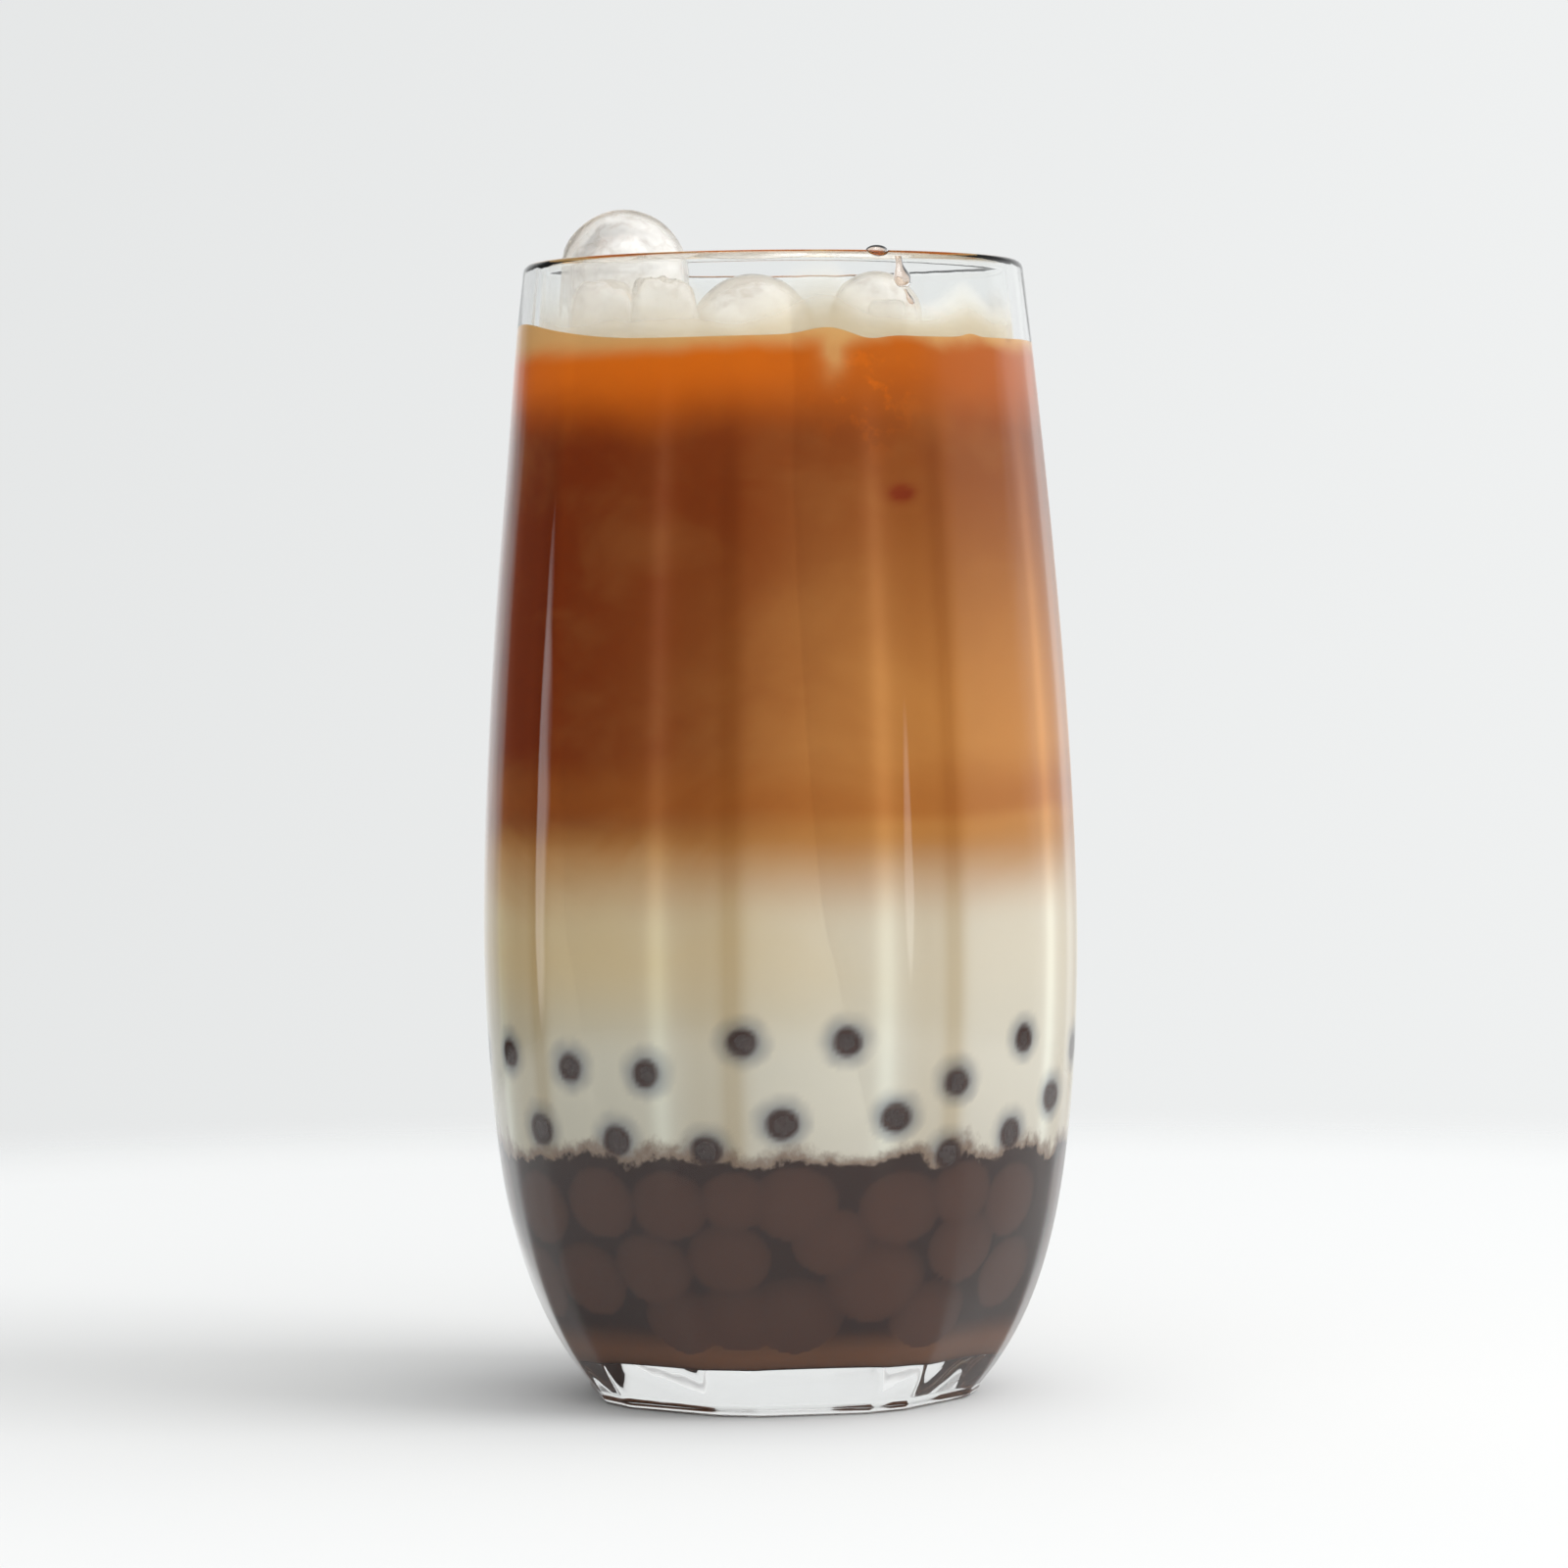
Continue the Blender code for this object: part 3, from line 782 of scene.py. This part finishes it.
def pearl_nodes():
    """The floating pearls by name: each from its node, moved out against the wall."""
    pearls = {}
    for name in sorted(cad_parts):
        if name.startswith("pearl_") and name != "pearl_heap":
            low, high = node_box(name)
            pearl = Pearl((low + high) / 2, float((high - low).mean()) / 2)
            pearl.press(CONTACT_LOW if pearl.centre[2] < ROW_SPLIT else CONTACT_HIGH)
            pearls[name] = pearl
    return pearls


def heap_pearls():
    """The heap's pearls against the wall: those told apart in front, then even rows."""
    draw = random.Random(5)
    places = list(HEAP_FRONT)
    for row in HEAP_ROWS:
        for step in HEAP_BACK:
            angle = step + draw.uniform(-2.0, 2.0)
            height = row + draw.uniform(-1.0, 1.0)
            places.append((angle, height, draw.uniform(*HEAP_SIZES)))
    pearls = []
    for angle, height, radius in places:
        level = min(max(height, FLOOR_HEIGHT + radius + 0.2), HEAP_TOP - radius)
        reach = float(cavity_radius(level)) * 0.985 - radius - 0.25
        reach -= 0.25 * max(0.0, HEAP_NARROWS - level)
        pearls.append(Pearl(at_angle(angle, reach, level), radius))
    return pearls


def press_to_wall(body, beyond):
    """Moves points that reach further than this beyond the wall back to that distance."""
    wall = wall_ring(angle_of(body), body[:, 2], -beyond)
    scale = np.minimum(1.0, reach_of(wall) / np.maximum(reach_of(body), 1e-6))
    body[:, :2] *= scale[:, None]
    return body


def pearl_piece(name, pearls, look, seed, beyond):
    """Pearls as one mesh, each a little lumpy and pressed flat where it meets the wall."""
    unit, unit_faces = ball()
    points = []
    faces = []
    for number, pearl in enumerate(pearls):
        shift = Vector((number * 3.7 + seed, seed * 1.3, number * 1.1))
        lumps = [1.0 + PEARL_LUMPS * noise.noise(Vector(p) * 1.3 + shift) for p in unit]
        body = unit * np.array(lumps)[:, None] * pearl.radius + pearl.centre
        start = len(points)
        points.extend(press_to_wall(body, beyond).tolist())
        faces.extend(tuple(start + i for i in face) for face in unit_faces)
    piece = mesh_object(name, points, faces, look)
    return piece


# What shows through the drink's wall

def cover_over(points, pearls):
    """How much drink lies between each wall point and the pearl right behind it."""
    cover = np.full(len(points), NO_PEARL)
    outward = points * np.array([1.0, 1.0, 0.0])
    outward /= np.maximum(np.linalg.norm(outward, axis=1), 1e-6)[:, None]
    for pearl in pearls:
        step = points - pearl.centre
        depth = (step * outward).sum(axis=1)
        aside = np.sqrt(np.clip((step ** 2).sum(axis=1) - depth ** 2, 0.0, None))
        under = depth - np.sqrt(np.clip(pearl.radius ** 2 - aside ** 2, 0.0, None))
        hit = (aside < pearl.radius) & (depth > 0.0)
        cover = np.where(hit, np.minimum(cover, np.maximum(under, 0.0)), cover)
    return cover


def blob(points, angle, height, wide, high):
    """A soft spot on the wall: 1 in its middle, sizes in millimetres."""
    across = np.radians(turned(angle_of(points), angle)) * ABOUT_WALL
    return hump(across, 0.0, wide) * hump(points[:, 2], height, high)


def light_bands(piece):
    """Streaks of light and shade that the ridges of the glass throw on the drink."""
    points = points_of(piece)
    repeat = 360.0 / SIDES
    off = (angle_of(points) - COLUMN_CENTRE + repeat / 2) % repeat - repeat / 2
    fade = smooth_step(*STREAKS_HIGH, points[:, 2]) * smooth_step(*STREAKS_LOW, points[:, 2])
    set_attribute(piece, "bright", hump(off, -10.6, 2.3) * fade)
    set_attribute(piece, "dark", (hump(off, 4.2, 2.6) + 0.45 * hump(off, -2.0, 5.0)) * fade)


def pearl_shadows(piece, floating, heap):
    """Spots and haloes of the floating pearls, and discs of the heap's, on the wall."""
    points = points_of(piece)
    uneven = wobble(points, 0.55, 3.0)
    near = cover_over(points, floating)
    set_attribute(piece, "spot", smooth_step(0.44, 0.02, near + 0.12 * uneven))
    halo = np.exp(-np.clip(near - 0.25, 0.0, None) / (1.15 + 0.6 * uneven))
    set_attribute(piece, "halo", np.where(near < NO_PEARL, halo, 0.0))
    set_attribute(piece, "disc", hump(cover_over(points, heap), 0.0, 5.2))
    swell = np.zeros(len(points))
    for pearl in heap:
        if pearl.centre[2] > SWELL_START:
            lift = pearl.centre[2] + pearl.radius - SWELL_BASE
            swell = np.maximum(swell, lift * blob(points, pearl.angle, points[:, 2], 4.5, 1.0))
    set_attribute(piece, "swell", swell)


# Drink pieces

def lower_drink(name, low, high, steps, look, angles):
    """A body between two heights, out to the wall; its lower end may be the floor."""
    rings = []
    if low <= FLOOR_HEIGHT:
        floor = float(cavity_radius(FLOOR_HEIGHT))
        for share in (0.2, 0.6, 0.9):
            rings.append(around(angles, floor * share, FLOOR_HEIGHT - REACH, INNER_FLATNESS * share))
        for turn in np.linspace(0.0, math.radians(80.0), 9):
            height = FLOOR_HEIGHT + FLOOR_FILLET * (1.0 - math.cos(turn))
            rings.append(wall_ring(angles, height, -REACH))
        low = FLOOR_HEIGHT + FLOOR_FILLET
    else:
        rings.append(around(angles, CAP_RADIUS, low, 0.0))
    for height in np.linspace(low, high, steps):
        rings.append(wall_ring(angles, height, -REACH))
    rings.append(around(angles, CAP_RADIUS, high, 0.0))
    return closed_rings(name, rings, look)


def milk_piece(look, angles, floating, heap):
    piece = lower_drink("milk_layer", SEAM, MILK_TOP, 64, look, angles)
    pearl_shadows(piece, floating, heap)
    light_bands(piece)
    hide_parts("milk")
    return piece


def syrup_piece(look, angles, floating, heap):
    piece = lower_drink("syrup", FLOOR_HEIGHT, SEAM, 62, look, angles)
    pearl_shadows(piece, floating, heap)
    light_bands(piece)
    return piece


def underside_piece(look, angles):
    """A thin plate right under the syrup, in the glass."""
    floor = float(cavity_radius(FLOOR_HEIGHT)) + MIRROR_OVERLAP
    shares = (0.3, 0.7, 1.0)
    rings = []
    for drop, order in ((0.10, shares), (0.04, shares[::-1])):
        for share in order:
            rings.append(around(angles, floor * share, FLOOR_HEIGHT - REACH - drop, INNER_FLATNESS))
    piece = closed_rings("syrup_underside", rings, look)
    return piece


def tea_edge(angles):
    """Height of the tea's line at the wall: nearly level, higher or lower beside the ice."""
    edge = TEA_LEVEL - EDGE_DROP + 0.25 * ring_noise(angles, 2.5, 5.0)
    for centre, width, rise in EDGE_WAVES:
        edge += rise * hump(turned(angles, centre), 0.0, width)
    return edge


def tea_marks(piece):
    """Where the tea is creamy, shaded, red or mottled, and where its top begins."""
    points = points_of(piece)
    uneven = wobble(points, 0.35, 8.0)
    for name, (amount, spots) in TEA_SPOTS.items():
        mark = sum(strength * blob(points, *spot) for strength, *spot in spots)
        set_attribute(piece, name, np.clip(mark * (1.0 + amount * uneven), 0.0, 1.0))
    share = reach_of(points) / cavity_radius(points[:, 2])
    set_attribute(piece, "top", smooth_step(0.995, 0.97, share) * (points[:, 2] > 120.0))


def tea_piece(look, angles):
    high = tea_edge(angles)
    rings = [around(angles, CAP_RADIUS, MILK_TOP, 0.0)]
    for share in np.linspace(0.0, 1.0, 100):
        rings.append(wall_ring(angles, MILK_TOP + (high - MILK_TOP) * share, -REACH))
    for share, drop in TEA_TOP_RINGS:
        top = high * (share ** 4) + TEA_LEVEL * (1.0 - share ** 4) - drop
        rings.append(around(angles, cavity_radius(TEA_LEVEL) * share, top, 0.0))
    piece = closed_rings("tea_layer", rings, look)
    tea_marks(piece)
    light_bands(piece)
    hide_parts("tea")
    return piece


def film_piece(look, angles):
    """Milk left on the inside of the wall above the drink."""
    low = tea_edge(angles) - FILM_SINK
    uneven = np.clip(0.5 + ring_noise(angles, 3.0, 9.0), 0.0, 1.0)
    high = low + FILM_LOW + (FILM_HIGH - FILM_LOW) * uneven
    steps = np.linspace(0.0, 1.0, 16)
    outer = [wall_ring(angles, low + (high - low) * share, 0.02) for share in steps]
    inner = [wall_ring(angles, low + (high - low) * share, 0.07) for share in steps]
    rings = np.array(outer + inner[::-1])
    count, width = rings.shape[:2]
    faces = []
    for ring in range(count):
        faces += ring_faces(ring * width, (ring + 1) % count * width, width)
    piece = mesh_object("milk_film", rings.reshape(-1, 3), faces, look)
    shares = np.concatenate([steps, steps[::-1]])
    side = 0.5 + 0.5 * np.cos(np.radians(angles - 60.0))
    cover = (1.0 - shares[:, None]) ** 1.3 * (0.35 + 0.6 * side[None, :])
    set_attribute(piece, "cover", cover.reshape(-1))
    return piece


# Ice

def bar_profile(radius, low, high):
    """Radius and height of each ring of a bar: rounded foot, straight side, dome."""
    foot = radius * BAR_FOOT
    levels = []
    for turn in np.linspace(0.12, math.pi / 2, 8):
        levels.append((radius * math.sin(turn), low + foot * (1.0 - math.cos(turn))))
    for share in np.linspace(0.1, 1.0, 9):
        levels.append((radius, low + foot + (high - radius - low - foot) * share))
    for turn in np.linspace(0.0, math.pi / 2 - 0.05, 16)[1:]:
        levels.append((radius * math.cos(turn), high - radius + radius * math.sin(turn)))
    return levels


def bullet_piece(name, look, seed):
    """A bar of bullet ice with a domed top, as the node of that name says."""
    low, high = node_box(name)
    centre = (low + high) / 2
    radius = float((high - low)[:2].mean()) / 2
    rings = []
    for wide, height in bar_profile(radius, low[2], high[2]):
        ring = []
        for turn in np.radians(np.arange(0.0, 360.0, 6.0)):
            out = Vector((math.cos(turn) * wide, math.sin(turn) * wide, height))
            lump = 0.98 + BAR_LUMPS * noise.noise(out * 0.22 + Vector((seed, 0, 0)))
            ring.append((centre[0] + out.x * lump, centre[1] + out.y * lump, height))
        rings.append(ring)
    piece = closed_rings(name + "_clear", rings, look, (centre[0], centre[1], high[2] - 0.02))
    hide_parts(name)
    return piece


def broken_piece(name, look, seed, rough):
    """A broken bit of ice, uneven all over, as large as the node of that name."""
    low, high = node_box(name)
    centre = (low + high) / 2
    half = (high - low) / 2
    unit, faces = ball(64, 44)
    points = []
    for p in unit:
        direction = Vector(p)
        spread = sum(abs(c) ** BLOCKY for c in p) ** (-1.0 / BLOCKY)
        big = noise.noise(direction * 1.8 + Vector((seed, 0, 0)))
        small = noise.noise(direction * 6.0 + Vector((0, seed, 0)))
        crack = abs(noise.noise(direction * 3.1 + Vector((0, 0, seed))))
        size = spread * (0.93 + rough * (0.5 * big + 0.10 * small - 0.35 * crack))
        points.append(centre + np.array(p) * size * half * 0.97)
    points = np.clip(np.array(points), low, high)
    piece = mesh_object(name + "_clear", points, faces, look)
    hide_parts(name)
    return piece


# Drops at the rim

def hanging_drop(name, look, angle, top, bottom, size, lean):
    """A drop on the outside of the wall, widest near its lower end."""
    rings = []
    for share in np.linspace(0.03, 0.99, 22):
        height = bottom + (top - bottom) * share
        round_end = math.sqrt(max(0.0, 1.0 - (1.0 - min(share / 0.3, 1.0)) ** 2))
        wide = size * round_end * (1.0 - 0.6 * smooth_step(0.3, 0.8, share))
        here = angle + lean * (1.0 - share)
        out = at_angle(here, 1.0, 0.0)
        side = at_angle(here + 90.0, 1.0, 0.0)
        centre = at_angle(here, float(ridge_radius(height)) - DROP_SINK, height)
        ring = []
        for turn in np.radians(np.arange(0.0, 360.0, 15.0)):
            across = side * wide * math.cos(turn)
            ring.append(centre + across + out * wide * 0.4 * (math.sin(turn) + 1.0))
        rings.append(ring)
    piece = closed_rings(name, rings, look)
    return piece


def bead_piece(look):
    """A flat bead of tea that sits on the lip."""
    unit, faces = ball(24, 16)
    middle = float(ridge_radius(GLASS_HEIGHT)) - WALL / 2
    centre = at_angle(BEAD_ANGLE, middle, GLASS_HEIGHT - BEAD_SINK)
    along = at_angle(BEAD_ANGLE + 90.0, 1.0, 0.0)
    out = at_angle(BEAD_ANGLE, 1.0, 0.0)
    axes = np.array([along, out, (0.0, 0.0, 1.0)]) * np.array(BEAD_SIZE)[:, None]
    piece = mesh_object("rim_bead", centre + unit @ axes, faces, look)
    return piece


# Stage, light and camera

FLOOR_GREY = 0.70
FLOOR_RADIUS = 430.0
FLOOR_FADE = (0.30, 0.42)  # distances in metres between which the floor turns clear
BACKDROP = 0.84  # brightness of the wall behind
BACKDROP_SLOPE = 0.14  # how much brighter it is at the right, and darker at the left
SKY_TINT = (0.985, 1.0, 1.0, 1.0)
MIRRORED_DARK = 0.08
# What the glass mirrors: direction, rise, where each starts and is full, and its brightness
MIRRORED = (
    (180.0, 0.0, 0.77, 0.99, BACKDROP),  # the wall behind
    (136.0, 0.0, 0.90, 0.98, 0.6),  # a window at the right, behind the glass
    (112.0, 0.0, 0.6, 0.97, 0.35),  # the wall beside it
    (-98.0, 0.0, 0.990, 0.997, 2.2),  # a narrow window at the left
    (46.0, 0.0, 0.994, 0.998, 2.2),  # a slit at the right, in front
    (30.0, 1.1, 0.90, 0.985, 9.0),  # a large soft lamp above it
)
KEY_PLACE = (0.85, -0.30, 0.85)
KEY_TARGET = (0.0, 0.0, 0.07)
KEY_SIZE = 0.6
KEY_POWER = 5.6
CAMERA_DISTANCE = 0.750
CAMERA_HEIGHT = 0.102
CAMERA_ROLL = 0.56
SENSOR = 36.0
PICTURE = 1600.0  # in pixels, as the next three
FOCAL_PIXELS = 6000.0
HORIZON_ROW = 606.0
AXIS_COLUMN = 793.8
LIGHT_BOUNCES = 16


def stage():
    """A pale round floor that fades out towards its edge."""
    made, nodes = new_material("pale_floor")
    length = nodes.add("ShaderNodeVectorMath", operation="LENGTH")
    nodes.link(nodes.place(), length.inputs[0])
    fade = nodes.step(length.outputs["Value"], *FLOOR_FADE)
    shader = nodes.add("ShaderNodeBsdfDiffuse")
    shader.inputs["Color"].default_value = (FLOOR_GREY, FLOOR_GREY, FLOOR_GREY, 1.0)
    finish_material(nodes, nodes.mix_shaders(fade, shader, nodes.clear()))
    turns = np.radians(np.arange(0.0, 360.0, 5.0))
    points = [(FLOOR_RADIUS * math.cos(t), FLOOR_RADIUS * math.sin(t), -0.02) for t in turns]
    floor = mesh_object("floor", points, [tuple(range(len(points)))], made, smooth=False)


def towards(nodes, direction, angle, rise=0.0):
    """How nearly a direction points at an angle round the axis: 1 if exactly."""
    turn = math.radians(angle)
    return nodes.along(direction, Vector((math.sin(turn), -math.cos(turn), rise)).normalized())


def sky():
    """Soft studio light: brighter from the right, with a bright wall behind.

    What the glass mirrors is set apart: a dark room with a few windows and lamps. What
    it mirrors after more than one bounce is the plain wall."""
    world = bpy.data.worlds.new("studio")
    bpy.context.scene.world = world
    world.use_nodes = True
    nodes = Nodes(world.node_tree)
    direction = nodes.add("ShaderNodeTexCoord").outputs["Generated"]

    lit = nodes.step(towards(nodes, direction, 72.0, 0.3), -1.0, 1.0, 0.02, 1.98, kind="LINEAR")
    lit = nodes.choose(nodes.step(towards(nodes, direction, 180.0), 0.35, 0.75), lit, BACKDROP)
    low = BACKDROP - BACKDROP_SLOPE
    high = BACKDROP + BACKDROP_SLOPE
    behind = nodes.step(towards(nodes, direction, 90.0), -0.5, 0.5, low, high, kind="LINEAR")
    mirrored = MIRRORED_DARK
    for angle, rise, start, full, brightness in MIRRORED:
        glow = nodes.step(towards(nodes, direction, angle, rise), start, full)
        mirrored = nodes.plus(mirrored, nodes.times(glow, brightness))

    # Seen by the camera, straight or through clear pieces: the wall, and not the light
    path = nodes.add("ShaderNodeLightPath")
    seen = nodes.math("MAXIMUM", path.outputs["Is Camera Ray"], path.outputs["Is Transmission Ray"])
    seen = nodes.math("MINIMUM", seen, nodes.math("LESS_THAN", path.outputs["Diffuse Depth"], 0.5))
    first = nodes.math("LESS_THAN", path.outputs["Ray Depth"], 2.5)
    mirrored = nodes.choose(first, BACKDROP, mirrored)
    level = nodes.choose(seen, lit, behind)
    level = nodes.choose(path.outputs["Is Glossy Ray"], level, mirrored)
    background = nodes.add("ShaderNodeBackground")
    background.inputs["Color"].default_value = SKY_TINT
    nodes.link(level, background.inputs["Strength"])
    output = nodes.add("ShaderNodeOutputWorld")
    nodes.link(background.outputs[0], output.inputs["Surface"])


def key_lamp():
    """A soft lamp above at the right; neither mirrors nor clear pieces show it."""
    data = bpy.data.lights.new("key", "AREA")
    data.shape = "RECTANGLE"
    data.size = KEY_SIZE
    data.size_y = KEY_SIZE
    data.energy = KEY_POWER
    made = bpy.data.objects.new("key", data)
    made.location = KEY_PLACE
    made.rotation_euler = (Vector(KEY_TARGET) - Vector(KEY_PLACE)).to_track_quat("-Z", "Y").to_euler()
    made.visible_glossy = False
    made.visible_transmission = False
    bpy.context.scene.collection.objects.link(made)


def camera():
    """In front at the height of the drink's upper half, looking level but for a small tilt."""
    data = bpy.data.cameras.new("camera")
    data.sensor_width = SENSOR
    data.lens = FOCAL_PIXELS / PICTURE * SENSOR
    data.clip_start = 0.01
    made = bpy.data.objects.new("camera", data)
    pitch = math.atan((PICTURE / 2 - HORIZON_ROW) / FOCAL_PIXELS)
    yaw = math.atan((AXIS_COLUMN - PICTURE / 2) / FOCAL_PIXELS)
    place = Matrix.Translation((0.0, -CAMERA_DISTANCE, CAMERA_HEIGHT))
    aim = Matrix.Rotation(yaw, 4, "Z") @ Matrix.Rotation(-pitch, 4, "X")
    level = Matrix.Rotation(math.pi / 2, 4, "X")
    roll = Matrix.Rotation(math.radians(-CAMERA_ROLL), 4, "Z")
    made.matrix_world = place @ aim @ level @ roll
    bpy.context.scene.collection.objects.link(made)
    bpy.context.scene.camera = made


# Everything together

def drink_pieces(pearls, heap):
    """Milk, tea, syrup and its underside, the pearls and the film on the wall."""
    angles = np.arange(-180.0, 180.0, WALL_STEP)
    floating = list(pearls.values())
    lower = lower_look()
    tapioca = pearl_look()
    pieces = [milk_piece(lower, angles, floating, heap)]
    pieces.append(tea_piece(tea_look(), angles))
    pieces.append(syrup_piece(lower, angles, floating, heap))
    pieces.append(underside_piece(underside_look(), angles))
    balls = pearl_piece("floating_pearls", floating, tapioca, 1.0, PEARL_POKE)
    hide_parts(*pearls)
    pieces.append(balls)
    balls = pearl_piece("heap_pearls", heap, tapioca, 4.0, -HEAP_INSET)
    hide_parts("pearl_heap")
    pieces.append(balls)
    pieces.append(film_piece(film_look(), angles))
    return pieces


def ice_pieces():
    clear = ice_look("clear_ice", 0.0)
    broken = ice_look("broken_ice", -0.15)
    pieces = []
    for number, name in enumerate(("ice_dome", "ice_middle", "ice_right")):
        pieces.append(bullet_piece(name, clear, 3.0 + 5.0 * number))
    for name, seed, rough in (("ice_block", 3.1, 0.12), ("ice_lump", 8.4, 0.2), ("ice_bit", 5.7, 0.14)):
        pieces.append(broken_piece(name, broken, seed, rough))
    return pieces


def drop_pieces():
    water = drop_look()
    drop = hanging_drop("rim_drop", water, angle=29.0, top=143.3, bottom=139.3, size=1.25, lean=0.6)
    tail = hanging_drop("rim_drop_tail", water, angle=30.2, top=139.2, bottom=137.3, size=0.5, lean=1.6)
    return [drop, tail, bead_piece(water)]


def main():
    scene = bpy.context.scene
    scene.view_settings.view_transform = "Standard"
    scene.cycles.max_bounces = LIGHT_BOUNCES
    scene.cycles.transmission_bounces = LIGHT_BOUNCES
    scene.cycles.transparent_max_bounces = LIGHT_BOUNCES
    pieces = [glass_piece(glass_look())]
    pieces += drink_pieces(pearl_nodes(), heap_pearls())
    pieces += ice_pieces()
    pieces += drop_pieces()
    for piece in pieces:
        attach(piece, "root")
    stage()
    sky()
    key_lamp()
    camera()


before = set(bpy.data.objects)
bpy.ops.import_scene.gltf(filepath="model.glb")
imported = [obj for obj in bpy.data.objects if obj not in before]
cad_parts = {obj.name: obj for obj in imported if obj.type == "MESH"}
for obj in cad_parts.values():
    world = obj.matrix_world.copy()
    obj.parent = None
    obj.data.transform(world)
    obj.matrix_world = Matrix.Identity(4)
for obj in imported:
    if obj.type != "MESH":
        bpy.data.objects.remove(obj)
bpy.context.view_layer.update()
main()
